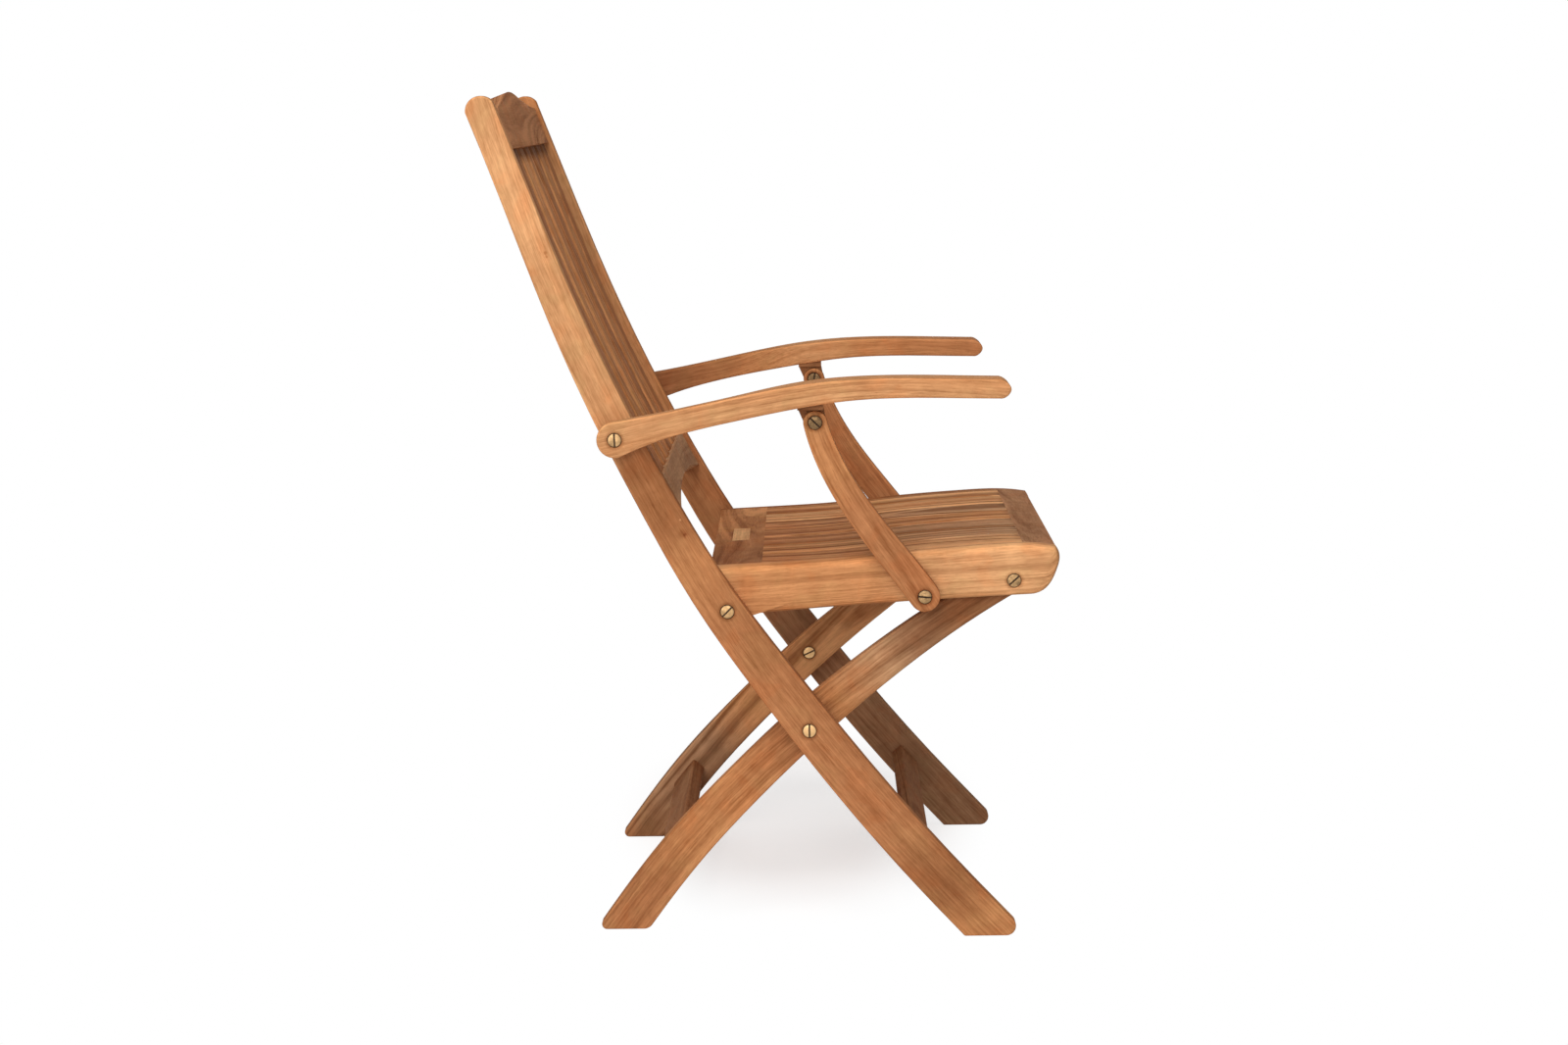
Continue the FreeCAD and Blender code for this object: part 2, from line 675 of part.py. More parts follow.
def build_lower_rail():
    low = -LOWER_RAIL_END
    arch = Part.Arc(
        FreeCAD.Vector(0, -STILE_IN, low),
        FreeCAD.Vector(0, 0, low + LOWER_RAIL_ARCH),
        FreeCAD.Vector(0, STILE_IN, low),
    ).toShape()
    corners = [(STILE_IN, low), (STILE_IN, 0.0), (-STILE_IN, 0.0), (-STILE_IN, low)]
    outline = [arch]
    for a, b in zip(corners[:-1], corners[1:]):
        outline.append(Part.makeLine(FreeCAD.Vector(0, *a), FreeCAD.Vector(0, *b)))
    return rail_across(outline, LOWER_RAIL_Z, LOWER_RAIL_RECESS, LOWER_RAIL_THICK)


def build_back_slats():
    """Slats that follow the stiles' bend, cut where the two rails hold them."""
    heights = [z for _, z, _ in reversed(STILE_LINE) if LOWER_RAIL_Z < z < TOP_RAIL_Z]
    heights = [LOWER_RAIL_Z - BACK_SLAT_TENON, *heights, TOP_RAIL_Z + BACK_SLAT_TENON]
    front = []
    rear = []
    for z in heights:
        point, up, forward = back_frame_at(z)
        offset = width_at(STILE_LINE, z) / 2 - BACK_SLAT_RECESS
        front.append((point.x + forward.x * offset, point.z + forward.z * offset))
        offset -= BACK_SLAT_THICK
        rear.append((point.x + forward.x * offset, point.z + forward.z * offset))
    edges = [spline(front), line(front[-1], rear[-1]), spline(rear), line(rear[0], front[0])]
    pitch = 2 * STILE_IN / BACK_SLAT_COUNT
    slats = []
    for index in range(BACK_SLAT_COUNT):
        centre = -STILE_IN + (index + 0.5) * pitch
        half = BACK_SLAT_WIDTH / 2
        slat = slab(edges, centre - half, centre + half)
        long_sides = on_faces(centre - half, centre + half)
        slats.append(round_edges(slat, SLAT_EDGE_ROUND, lambda e: long_sides(e) and is_tall(e)))
    return slats


def is_tall(edge):
    return edge.BoundBox.ZLength > BACK_SLAT_WIDTH


# Stretchers
def stretcher(stations, drawn_z, back, thick, width, half_span):
    """Flat bar that lies along a board's centre line, a little behind it."""
    centre, up = point_at_height(stations, drawn_z * STRETCH_Z)
    body = box(-width / 2, width / 2, -half_span, half_span, -thick / 2, thick / 2)
    body = round_edges(body, EDGE_ROUND, straight_across)
    slope = math.degrees(math.atan2(up.z, up.x))
    body.rotate(FreeCAD.Vector(0, 0, 0), FreeCAD.Vector(0, 1, 0), -slope)
    body.translate(centre - FreeCAD.Vector(up.z, 0, -up.x) * back)
    return body


# Arm
def stretched_solid(solid):
    """A solid of the drawn side view at the chair's own depth and height."""
    if STRETCH_X == STRETCH_Z == 1:
        return solid
    grow = FreeCAD.Matrix()
    grow.scale(STRETCH_X, 1, STRETCH_Z)
    return solid.transformGeometry(grow)


def build_arm():
    pivot = DRAWN_ARM_PIVOT
    rear = (pivot[0] - ARM_END_RADIUS, pivot[1])
    lower = arm_bottom_line()
    edges = [
        spline(ARM_TOP),
        spline([ARM_TOP[-1], *ARM_TIP, lower[0]]),
        spline(lower),
        arc(lower[-1], rear, ARM_TOP[0]),
    ]
    side = slab(edges, 0, ARM_OUT)
    plan = [
        (-BEYOND, ARM_CHEEK_IN),
        (ARM_WIDEN_FROM, ARM_CHEEK_IN),
        (ARM_WIDEN_TO, ARM_FRONT_IN),
        (BEYOND, ARM_FRONT_IN),
        (BEYOND, BEYOND),
        (-BEYOND, BEYOND),
    ]
    ogee = Part.BSplineCurve()
    ogee.interpolate(
        Points=[FreeCAD.Vector(*plan[1], 0), FreeCAD.Vector(*plan[2], 0)],
        InitialTangent=FreeCAD.Vector(1, 0, 0),
        FinalTangent=FreeCAD.Vector(1, 0, 0),
    )
    outline = [ogee.toShape()]
    for a, b in ((0, 1), (2, 3), (3, 4), (4, 5), (5, 0)):
        outline.append(Part.makeLine(FreeCAD.Vector(*plan[a], 0), FreeCAD.Vector(*plan[b], 0)))
    face = Part.Face(Part.Wire(Part.__sortEdges__(outline)))
    arm = side.common(face.extrude(FreeCAD.Vector(0, 0, BEYOND)))
    arm = round_edges(arm, EDGE_ROUND, lambda e: not straight_across(e) and not spans_arm(e))
    arm = stretched_solid(arm)
    arm = arm.cut(counterbore(ARM_PIVOT, ARM_OUT, 1))
    return arm.cut(bolt_hole(ARM_PIVOT, ARM_CHEEK_IN, ARM_OUT, BOLT_RUN))


def spans_arm(edge):
    """Whether an edge runs from the arm's inner side to its outer face."""
    b = edge.BoundBox
    return b.YMax > ARM_OUT - FLAT and b.YLength > FLAT


def build_arm_lug():
    """Plate under the arm with a rounded tongue that the strut's bridle straddles."""
    x, z = STRUT_TOP
    middle = (STRUT_IN + STRUT_OUT) / 2
    half = ARM_PLATE_LENGTH / 2
    plate_z = z + STRUT_TOP_WIDTH / 2 + ARM_PLATE_GAP
    mid_x = x + ARM_PLATE_SHIFT
    y_in = STILE_OUT - ARM_PLATE_IN
    y_out = STILE_OUT + ARM_PLATE_OUT
    plate = box(mid_x - half, mid_x + half, y_in, y_out, plate_z, ARM_TOP[-1][1] * STRETCH_Z)
    y_from = middle - BRIDLE_TONGUE / 2
    y_to = middle + BRIDLE_TONGUE / 2
    neck = [
        (x - TONGUE_RADIUS, z),
        (mid_x - half, plate_z + PAST),
        (mid_x + half, plate_z + PAST),
        (x + TONGUE_RADIUS, z),
    ]
    edges = [line(a, b) for a, b in zip(neck[:-1], neck[1:])]
    edges.append(arc(neck[-1], (x, z - TONGUE_RADIUS), neck[0]))
    lug = plate.fuse(slab(edges, y_from, y_to))
    lug = lug.cut(above_arm_bottom())
    return lug.cut(bolt_hole(STRUT_TOP, y_from, y_to, 0)).removeSplitter()


def arm_bottom_line():
    """Points of the arm's lower edge as drawn, from the tip to its round rear end."""
    (x0, z0), (x1, z1) = ARM_BOTTOM[-1], ARM_BOTTOM[-2]
    slope = math.atan2(z1 - z0, x1 - x0)
    low = (
        DRAWN_ARM_PIVOT[0] + ARM_END_RADIUS * math.sin(slope),
        DRAWN_ARM_PIVOT[1] - ARM_END_RADIUS * math.cos(slope),
    )
    return [*ARM_BOTTOM, low]


def above_arm_bottom():
    """The space above the arm's lower surface."""
    points = arm_bottom_line()
    ceiling = BEYOND
    front = (points[0][0], ceiling)
    rear = (points[-1][0], ceiling)
    edges = [
        spline(points),
        line(points[-1], rear),
        line(rear, front),
        line(front, points[0]),
    ]
    return stretched_solid(slab(edges, 0, 2 * ARM_OUT))


def mirrored(shape):
    return shape.mirror(FreeCAD.Vector(0, 0, 0), FreeCAD.Vector(0, 1, 0))


def main():
    os.makedirs("parts", exist_ok=True)
    travel, swing = pin_travel()
    print(f"slide block travel {travel:.4f} mm, leg swing {swing:.4f} degrees")
    sided = {
        "stile": build_stile(),
        "leg": build_leg(),
        "strut": build_strut(),
        "seat_rail": build_seat_rail(),
        "slide_block": build_slide_block(),
        "arm": build_arm(),
        "arm_lug": build_arm_lug(),
    }
    sided["leg_spacer"] = rod(LEG_PIVOT, SPACER_RADIUS, LEG_OUT, STILE_IN).cut(
        bolt_hole(LEG_PIVOT, LEG_OUT, STILE_IN, 0)
    )
    sided["leg_pivot_bolt"] = pivot_bolt(LEG_PIVOT, STILE_OUT, LEG_IN, LEG_PIVOT_SLOT, True)
    sided["seat_pivot_bolt"] = pivot_bolt(SEAT_PIVOT, STILE_OUT, RAIL_IN, SEAT_PIVOT_SLOT, True)
    sided["arm_pivot_bolt"] = pivot_bolt(ARM_PIVOT, ARM_OUT, STILE_IN, ARM_PIVOT_SLOT, True)
    sided["strut_top_bolt"] = pivot_bolt(STRUT_TOP, STRUT_OUT, STRUT_IN, STRUT_TOP_SLOT, True)
    sided["strut_foot_bolt"] = pivot_bolt(
        STRUT_FOOT, STRUT_OUT, RAIL_IN + FOOT_BOLT_END, STRUT_FOOT_SLOT, False
    )
    sided["stop_bolt"] = pivot_bolt(
        LEG_TOP, RAIL_OUT, RAIL_IN + GROOVE_DEPTH, STOP_BOLT_SLOT, False
    )
    pin = rod(LEG_TOP, BOLT_SHANK, LEG_IN + BOLT_SINK, LEG_OUT)
    sided["leg_top_pin"] = pin.fuse(bolt_head(LEG_TOP, LEG_IN, -1, LEG_TOP_SLOT)).removeSplitter()

    nodes = {}
    for name, shape in sided.items():
        nodes[name + "_left"] = shape
        nodes[name + "_right"] = mirrored(shape)
    top_rail = build_top_rail()
    lower_rail = build_lower_rail()
    for index, slat in enumerate(build_back_slats()):
        nodes[f"back_slat_{index + 1}"] = slat
        top_rail = top_rail.cut(slat)
        lower_rail = lower_rail.cut(slat)
    nodes["top_rail"] = top_rail
    nodes["lower_back_rail"] = lower_rail
    nodes["front_stretcher"] = stretcher(
        STILE_LINE,
        FRONT_STRETCHER_Z,
        FRONT_STRETCHER_BACK,
        FRONT_STRETCHER_THICK,
        FRONT_STRETCHER_WIDTH,
        STILE_IN,
    )
    nodes["rear_stretcher"] = stretcher(
        LEG_LINE,
        REAR_STRETCHER_Z,
        REAR_STRETCHER_BACK,
        REAR_STRETCHER_THICK,
        REAR_STRETCHER_WIDTH,
        LEG_IN,
    )
    for index, slat in enumerate(build_seat_slats()):
        nodes[f"seat_slat_{index + 1}"] = slat
    nodes["seat_front_rail"] = build_seat_front_rail()
    nodes["seat_rear_rail"] = build_seat_rear_rail()
    nodes["seat_plug"] = build_seat_plug()
    for name, shape in nodes.items():
        shape.exportStep(f"parts/{name}.step")
        if not shape.isValid() or len(shape.Solids) != 1:
            print("check", name, shape.isValid(), len(shape.Solids))
    print(len(nodes), "nodes")


main()
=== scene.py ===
"""Looks of a folding slatted armchair in oiled teak with slotted brass pivot bolts.

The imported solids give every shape. Each wooden board is a welded copy of its solid that also
carries the coordinates of the plank it was sawn from, so that one teak finish can run its grain
along every board. Lengths are in metres, +X is the way the chair faces and +Z is up.
"""

import logging
import math
from dataclasses import dataclass
from enum import Enum
from functools import reduce

import bmesh
import bpy
import numpy as np
from mathutils import Matrix, Vector

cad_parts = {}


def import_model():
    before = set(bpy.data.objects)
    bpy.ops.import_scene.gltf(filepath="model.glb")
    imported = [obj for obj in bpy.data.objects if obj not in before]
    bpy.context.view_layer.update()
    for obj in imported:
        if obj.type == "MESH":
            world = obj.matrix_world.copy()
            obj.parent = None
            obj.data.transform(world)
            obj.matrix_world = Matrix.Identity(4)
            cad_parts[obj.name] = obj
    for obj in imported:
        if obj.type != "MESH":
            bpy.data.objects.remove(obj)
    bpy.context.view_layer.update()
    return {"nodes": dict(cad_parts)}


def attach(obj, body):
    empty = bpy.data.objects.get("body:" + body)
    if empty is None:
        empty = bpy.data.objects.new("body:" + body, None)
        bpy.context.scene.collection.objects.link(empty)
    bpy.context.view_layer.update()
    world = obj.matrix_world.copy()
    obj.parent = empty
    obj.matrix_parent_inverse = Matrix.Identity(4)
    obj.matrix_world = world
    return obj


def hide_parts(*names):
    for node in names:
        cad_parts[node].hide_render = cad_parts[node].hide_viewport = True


LOG = logging.getLogger("armchair")

Point = tuple[float, float, float]
Colour = tuple[float, float, float]
Limits = tuple[float, float]
SidePoint = tuple[float, float]  # X and Z in a side view
SideLine = tuple[SidePoint, ...]  # places along a centre line

WHITE: Colour = (1.0, 1.0, 1.0)
MIDDLE = 0.5  # of a noise's values
NOISE_ROUGHNESS = 0.55
SMOOTH_STEP = {"interpolation_type": "SMOOTHSTEP", "clamp": True}
BUMP_STRENGTH = 0.4
WELD = 2e-6  # vertices nearer than this are one
SECTION = 0.04  # a board is divided across its grain this often
SMOOTH_ANGLE = math.radians(32.0)  # edges that turn by less are shaded smooth
FACE_WEIGHT = 80  # how far large faces govern the normals, out of 100
BOW_DEGREE = 3  # of the polynomial that follows a bowed board
TRUNK_LENGTH = 9.0  # planks come from places up to this far along their trunks
PITH_SHIFT = 0.012  # most that a plank's pith is off the place that its cut gives
END_FROM = 0.72  # part of the normal along the grain where end grain begins to show
END_OVER = 0.24  # further part over which it comes in fully
SIDE_FACE: Point = (0.0, 1.0, 0.0)  # a board's broad face that lies across the pivots' axes
# X and Z of the bolts' axes: leg, seat and arm on the stile, strut's top and foot, leg's top
PIVOTS: SideLine = (
    (0.0423, 0.240), (-0.0478, 0.377), (-0.168, 0.574),
    (0.0528, 0.588), (0.173, 0.391), (0.274, 0.405),
)
# data type and property of an attribute, by the numbers in one row of its values
ATTRIBUTE_KINDS = {
    1: ("FLOAT", "value"),
    3: ("FLOAT_VECTOR", "vector"),
    4: ("FLOAT_COLOR", "color"),
}


class Cut(Enum):
    """How a board was sawn: the pith's place across and through the board, in metres."""

    FLAT = (0.012, 0.085)
    RIFT = (0.075, 0.070)
    QUARTER = (0.120, 0.018)


class Tone(Enum):
    """Oiled teak from pale to dark, as linear colours."""

    FAWN = (0.700, 0.370, 0.175)
    HONEY = (0.600, 0.305, 0.140)
    PUTTY = (0.500, 0.275, 0.145)
    AMBER = (0.520, 0.232, 0.096)
    COPPER = (0.440, 0.188, 0.080)
    DUSK = (0.420, 0.215, 0.110)
    RUSSET = (0.350, 0.146, 0.060)
    # painted shade: a dull brown for the far parts and the stretches that lie in shadow
    SMOKE = (0.345, 0.180, 0.095)
    UMBER = (0.285, 0.125, 0.056)
    # painted shadow: the dark band at the back slats' tops, under the crest rail
    SLAT_SHADOW = (0.225, 0.100, 0.046)


Tones = tuple[tuple[float, Tone], ...]  # tones at shares of a board's length


def rgba(colour: Colour) -> tuple[float, float, float, float]:
    """Adds a full alpha to a colour."""
    return (*colour, 1.0)


def placed(name: str, data: bpy.types.ID) -> bpy.types.Object:
    """Adds a mesh, light or camera to the scene, at the origin."""
    made = bpy.data.objects.new(name, data)
    bpy.context.scene.collection.objects.link(made)
    return made


@dataclass(frozen=True)
class Layer:
    """One layer of noise: its scale, its octaves, its swirl and its weight in what it changes.

    factors are features per metre along each coordinate.
    """

    factors: Point
    detail: float = 2.0
    distortion: float = 0.0
    weight: float = 0.0

    def swing(self, value: "Socket") -> "Socket":
        """The layer's value about its middle, times the layer's weight."""
        return (value - MIDDLE) * self.weight


@dataclass(frozen=True)
class Tint:
    """A colour factor: its strength, and the limits between which a value brings it in."""

    colour: Colour
    strength: float = 1.0
    limits: Limits = (0.0, 1.0)


class Socket:
    """A shader output with arithmetic: an expression on values adds its Math nodes."""

    def __init__(self, graph: "Graph", socket: bpy.types.NodeSocket) -> None:
        """Keeps the graph and the socket that it stands for."""
        self.graph = graph
        self.socket = socket

    def other(self, name: str) -> "Socket":
        """Another output of the same node."""
        return Socket(self.graph, self.socket.node.outputs[name])

    def _math(self, operation: str, left: object, right: object = 0.5) -> "Socket":
        """Adds one Math node on one or two numbers or sockets."""
        return self.graph.node("Math", {"operation": operation}, {0: left, 1: right})

    def __add__(self, other: object) -> "Socket":
        """self + other."""
        return self._math("ADD", self, other)

    def __radd__(self, other: object) -> "Socket":
        """other + self."""
        return self._math("ADD", other, self)

    def __sub__(self, other: object) -> "Socket":
        """self - other."""
        return self._math("SUBTRACT", self, other)

    def __rsub__(self, other: object) -> "Socket":
        """other - self."""
        return self._math("SUBTRACT", other, self)

    def __mul__(self, other: object) -> "Socket":
        """self * other."""
        return self._math("MULTIPLY", self, other)

    def __rmul__(self, other: object) -> "Socket":
        """other * self."""
        return self._math("MULTIPLY", other, self)

    def root(self) -> "Socket":
        """Square root."""
        return self._math("SQRT", self)

    def least(self, other: object) -> "Socket":
        """The smaller of self and other."""
        return self._math("MINIMUM", self, other)

    def clamped(self) -> "Socket":
        """The value, held between 0 and 1."""
        return self.graph.node("Clamp", {}, {0: self})

    def ramp(self, low: float, high: float) -> "Socket":
        """Smooth step from 0 at low to 1 at high, which may be the lower one."""
        inputs = {"Value": self, "From Min": low, "From Max": high}
        return self.graph.node("MapRange", SMOOTH_STEP, inputs)


class Graph:
    """The node tree of one material or of the world."""

    def __init__(self, owner: bpy.types.Material | bpy.types.World) -> None:
        """Empties the tree of a material or of the world."""
        self.owner = owner
        owner.use_nodes = True
        self.tree = owner.node_tree
        self.tree.nodes.clear()

    def node(
        self, kind: str, settings: dict[str, object], inputs: dict[object, object]
    ) -> Socket | None:
        """Adds any node.

        Args:
            kind: the node's type without its ShaderNode prefix.
            settings: the node's own settings, set before its sockets.
            inputs: socket name or index to a value or a Socket.

        Returns:
            The node's first output that is in use, or None where it has no output.
        """
        node = self.tree.nodes.new("ShaderNode" + kind)
        for key, value in settings.items():
            setattr(node, key, value)
        for key, value in inputs.items():
            if isinstance(value, Socket):
                self.tree.links.new(value.socket, node.inputs[key])
            else:
                node.inputs[key].default_value = value
        shown = [output for output in node.outputs if output.enabled]
        return Socket(self, shown[0]) if shown else None

    def mix(self, factor: object, first: object, second: object, blend: str = "MIX") -> Socket:
        """Blends two colours by a factor from 0, the first, to 1."""
        settings = {"data_type": "RGBA", "blend_type": blend, "clamp_factor": True}
        # 6 and 7 are the node's sockets for colours
        return self.node("Mix", settings, {0: factor, 6: first, 7: second})

    def tinted(self, mask: float | Socket, colour: Socket, tint: Tint) -> Socket:
        """A colour multiplied by a tint, as far as the mask and the tint's strength say."""
        return self.mix(mask * tint.strength, colour, rgba(tint.colour), "MULTIPLY")

    def scaled(self, vector: Socket, factors: Point) -> Socket:
        """A vector times a constant one, part by part."""
        return self.node("VectorMath", {"operation": "MULTIPLY"}, {0: vector, 1: factors})

    def distance(self, vector: Socket, point: Point) -> Socket:
        """Distance of a place from a point."""
        return self.node("VectorMath", {"operation": "DISTANCE"}, {0: vector, 1: point})

    def noise(self, vector: Socket, layer: Layer) -> Socket:
        """Noise from 0 to 1 on coordinates in metres, stretched as the layer says."""
        inputs = {
            "Vector": self.scaled(vector, layer.factors),
            "Scale": 1.0,
            "Detail": layer.detail,
            "Roughness": NOISE_ROUGHNESS,
            "Distortion": layer.distortion,
        }
        return self.node("TexNoise", {"noise_dimensions": "3D"}, inputs)

    def attribute(self, name: str, output: str = "Fac") -> Socket:
        """One output of a mesh attribute."""
        return self.node("Attribute", {"attribute_name": name}, {}).other(output)

    def place(self) -> Socket:
        """Object coordinates."""
        return self.node("TexCoord", {}, {}).other("Object")

    def near_pivot(self) -> Socket:
        """Distance to the nearest pivot's axis, which runs along Y."""
        flat = self.scaled(self.place(), (1.0, 0.0, 1.0))
        return reduce(Socket.least, [self.distance(flat, (x, 0.0, z)) for x, z in PIVOTS])

    def bump(self, height: Socket, depth: float) -> Socket:
        """The normal on a height from 0 to 1 that stands for a depth in metres."""
        inputs = {"Strength": BUMP_STRENGTH, "Distance": depth, "Height": height}
        return self.node("Bump", {}, inputs)

    def shown(self) -> Socket:
        """1 for rays from the camera, off metal or through glass, and 0 for the rest."""
        path = self.node("LightPath", {}, {})
        mirrored = path.other("Is Glossy Ray") + path.other("Is Transmission Ray")
        return (path.other("Is Camera Ray") + mirrored).clamped()

    def finish(self, shader: Socket) -> bpy.types.Material | bpy.types.World:
        """Leads a whole shader to the owner's surface and hands back the owner."""
        output = "OutputWorld" if isinstance(self.owner, bpy.types.World) else "OutputMaterial"
        self.node(output, {}, {"Surface": shader})
        return self.owner


@dataclass(frozen=True)
class Mark:
    """A small knot or a filled pinhole in a face: its place, radius and colour factor."""

    place: Point
    radius: float
    colour: Colour


@dataclass(frozen=True)
class Wood:
    """What the teak reads at a place: coordinates, attributes and the layers it shares."""

    plank: Socket
    trunk: Socket
    figure: Socket
    pierced: Socket
    ends: Socket
    ease: Socket
    ring: Socket
    fibre: Socket
    mottle: Socket
    pores: Socket


@dataclass(frozen=True)
class TeakFinish:
    """Sanded and lightly oiled teak on plank coordinates (along, across, through).

    The layers band, ring, line, hue and vein follow the growth rings, so their features are
    counted outwards, along the grain and round the trunk.
    """

    name: str = "teak"
    marks: tuple[Mark, ...] = (
        Mark((-0.2405, -0.26, 0.7790), 0.0032, (0.76, 0.66, 0.58)),
        Mark((-0.2393, -0.26, 0.7750), 0.0024, (0.80, 0.70, 0.62)),
        Mark((-0.0955, -0.26, 0.4660), 0.0076, (0.80, 0.70, 0.66)),
        Mark((-0.0935, -0.26, 0.4650), 0.0026, (0.72, 0.60, 0.56)),
        Mark((-0.0985, -0.26, 0.4815), 0.0018, (1.60, 1.80, 2.00)),
        Mark((0.2680, -0.26, 0.0290), 0.0016, (1.50, 1.80, 2.10)),
    )
    mark_core: float = 0.3  # share of a mark's radius that has its full colour

    sway: Layer = Layer((1.3, 8.0, 8.0), 1.5, weight=0.060)
    ripple: Layer = Layer((8.0, 42.0, 42.0), weight=0.0020)
    band: Layer = Layer((62.0, 0.9, 5.0), 1.0, weight=1.2)
    ring: Layer = Layer((240.0, 1.1, 9.0), weight=1.9)
    line: Layer = Layer((460.0, 2.2, 22.0), weight=1.9)
    hue: Layer = Layer((34.0, 0.8, 6.0))
    vein: Layer = Layer((120.0, 1.0, 9.0), 1.0)
    fibre: Layer = Layer((26.0, 450.0, 450.0), 3.0, weight=0.66)
    fleck: Layer = Layer((70.0, 640.0, 640.0), weight=0.62)
    mottle: Layer = Layer((44.0, 34.0, 34.0), 3.0, 0.6, 0.50)
    cloud: Layer = Layer((26.0, 30.0, 30.0), distortion=0.4)
    pore: Layer = Layer((110.0, 1900.0, 1900.0))
    porous_rings: Limits = (0.40, 0.62)

    early_wood: Tint = Tint((1.34, 1.38, 1.40))
    late_wood: Tint = Tint((0.56, 0.46, 0.38))
    foxy_hue: Tint = Tint((1.02, 0.86, 0.76), 0.5, (0.52, 0.74))
    straw_hue: Tint = Tint((1.05, 1.08, 1.02), 0.4, (0.46, 0.26))
    ruddy_cloud: Tint = Tint((1.03, 0.92, 0.86), 0.7, (0.52, 0.68))
    cool_cloud: Tint = Tint((0.97, 1.04, 1.02), 0.7, (0.48, 0.32))
    dark_vein: Tint = Tint((0.50, 0.41, 0.36), 0.75, (0.60, 0.71))
    dark_pore: Tint = Tint((0.52, 0.42, 0.36), 0.6, (0.58, 0.72))
    end_grain: Tint = Tint((0.60, 0.50, 0.44), 0.75)
    # painted highlight with some wear: rounded edges paler, as where they catch the light
    rubbed_edge_highlight: Tint = Tint((1.34, 1.30, 1.24))
    # oil stain and painted shade: a dark ring round each pivot at the counterbore's edge
    oil_and_shade_halo: Tint = Tint((0.48, 0.38, 0.32), 0.62, (0.0125, 0.0082))

    edge_light_least: float = 0.5  # wear and painted highlight of an edge where the mottle is 0
    edge_light_patches: float = 0.6  # and what it gains where the mottle is 1
    edge_light_unpierced: float = 0.25  # the share of it that rails and slats have
    roughness: float = 0.66
    rough_fibre: float = 0.22
    rough_pores: float = 0.15
    rough_ends: float = 0.12
    smooth_edges: float = 0.06
    specular: float = 0.01
    pore_depth: float = 0.00022
    relief_ring: float = 0.22
    relief_fibre: float = 0.45
    relief_pores: float = 0.9

    def trunk(self, graph: Graph, plank: Socket) -> Socket:
        """Finds where a place lay in the trunk, as the tree grew it.

        The distance from the pith is sqrt(across^2 + through^2) + sway + ripple, where sway and
        ripple are slow and quicker noise that is drawn out along the grain.

        Args:
            graph: the tree to add to.
            plank: plank coordinates.

        Returns:
            The warped distance from the pith, the distance along, and across + through.
        """
        parts = graph.node("SeparateXYZ", {}, {0: plank})
        along, across, through = parts.other("X"), parts.other("Y"), parts.other("Z")
        pith = (across * across + through * through).root()
        for layer in (self.sway, self.ripple):
            pith = pith + layer.swing(graph.noise(plank, layer))
        return graph.node("CombineXYZ", {}, {0: pith, 1: along, 2: across + through})

    def read(self, graph: Graph) -> Wood:
        """Reads coordinates, attributes and the layers that colour, gloss and relief share."""
        plank = graph.attribute("plank", "Vector")
        trunk = self.trunk(graph, plank)
        ring = graph.noise(trunk, self.ring)
        pores = graph.noise(plank, self.pore).ramp(*self.dark_pore.limits)
        return Wood(
            plank=plank,
            trunk=trunk,
            figure=graph.attribute("figure"),
            pierced=graph.attribute("pierced"),
            ends=graph.attribute("ends"),
            ease=graph.attribute("ease"),
            ring=ring,
            fibre=graph.noise(plank, self.fibre),
            mottle=graph.noise(plank, self.mottle),
            pores=pores * ring.ramp(*self.porous_rings),
        )

    def figured(self, graph: Graph, wood: Wood) -> Socket:
        """Colours freshly sanded wood.

        The shade from late to early wood is 1/2 + (band + ring + line) * figure + fibre + fleck
        + mottle, where each layer swings about its middle by its weight.
        """
        stain = graph.attribute("stain", "Color")
        band, line = graph.noise(wood.trunk, self.band), graph.noise(wood.trunk, self.line)
        hue, vein = graph.noise(wood.trunk, self.hue), graph.noise(wood.trunk, self.vein)
        fleck, cloud = graph.noise(wood.plank, self.fleck), graph.noise(wood.plank, self.cloud)
        broad = self.band.swing(band) + self.ring.swing(wood.ring) + self.line.swing(line)
        fine = self.fibre.swing(wood.fibre) + self.fleck.swing(fleck)
        fine = fine + self.mottle.swing(wood.mottle)
        shade = MIDDLE + broad * wood.figure + fine
        light = graph.tinted(1.0, stain, self.early_wood)
        dark = graph.tinted(1.0, stain, self.late_wood)
        colour = graph.mix(shade.clamped(), dark, light)
        for value, tint in (
            (hue, self.foxy_hue),
            (hue, self.straw_hue),
            (cloud, self.ruddy_cloud),
            (cloud, self.cool_cloud),
        ):
            colour = graph.tinted(value.ramp(*tint.limits), colour, tint)
        veined = vein.ramp(*self.dark_vein.limits) * wood.figure
        colour = graph.tinted(veined, colour, self.dark_vein)
        return graph.tinted(wood.pores, colour, self.dark_pore)

    def aged(self, graph: Graph, wood: Wood, colour: Socket) -> Socket:
        """Darkens end grain, pales edges by wear and painted highlight, darkens round the bolts by
        oil and painted shade, adds marks.
        """
        colour = graph.tinted(wood.ends, colour, self.end_grain)
        patches = wood.mottle * self.edge_light_patches + self.edge_light_least
        boards = wood.pierced * (1.0 - self.edge_light_unpierced) + self.edge_light_unpierced
        # edges paler by wear and a painted highlight
        colour = graph.tinted(wood.ease * patches * boards, colour, self.rubbed_edge_highlight)
        # a dark ring round the bolts: oil stain and painted shade at the counterbores
        oil_and_shade = graph.near_pivot().ramp(*self.oil_and_shade_halo.limits) * wood.pierced
        colour = graph.tinted(oil_and_shade, colour, self.oil_and_shade_halo)
        place = graph.place()
        for mark in self.marks:
            away = graph.distance(place, mark.place) + (wood.fibre - MIDDLE) * mark.radius
            spot = away.ramp(mark.radius, mark.radius * self.mark_core)
            colour = graph.tinted(spot, colour, Tint(mark.colour))
        return colour

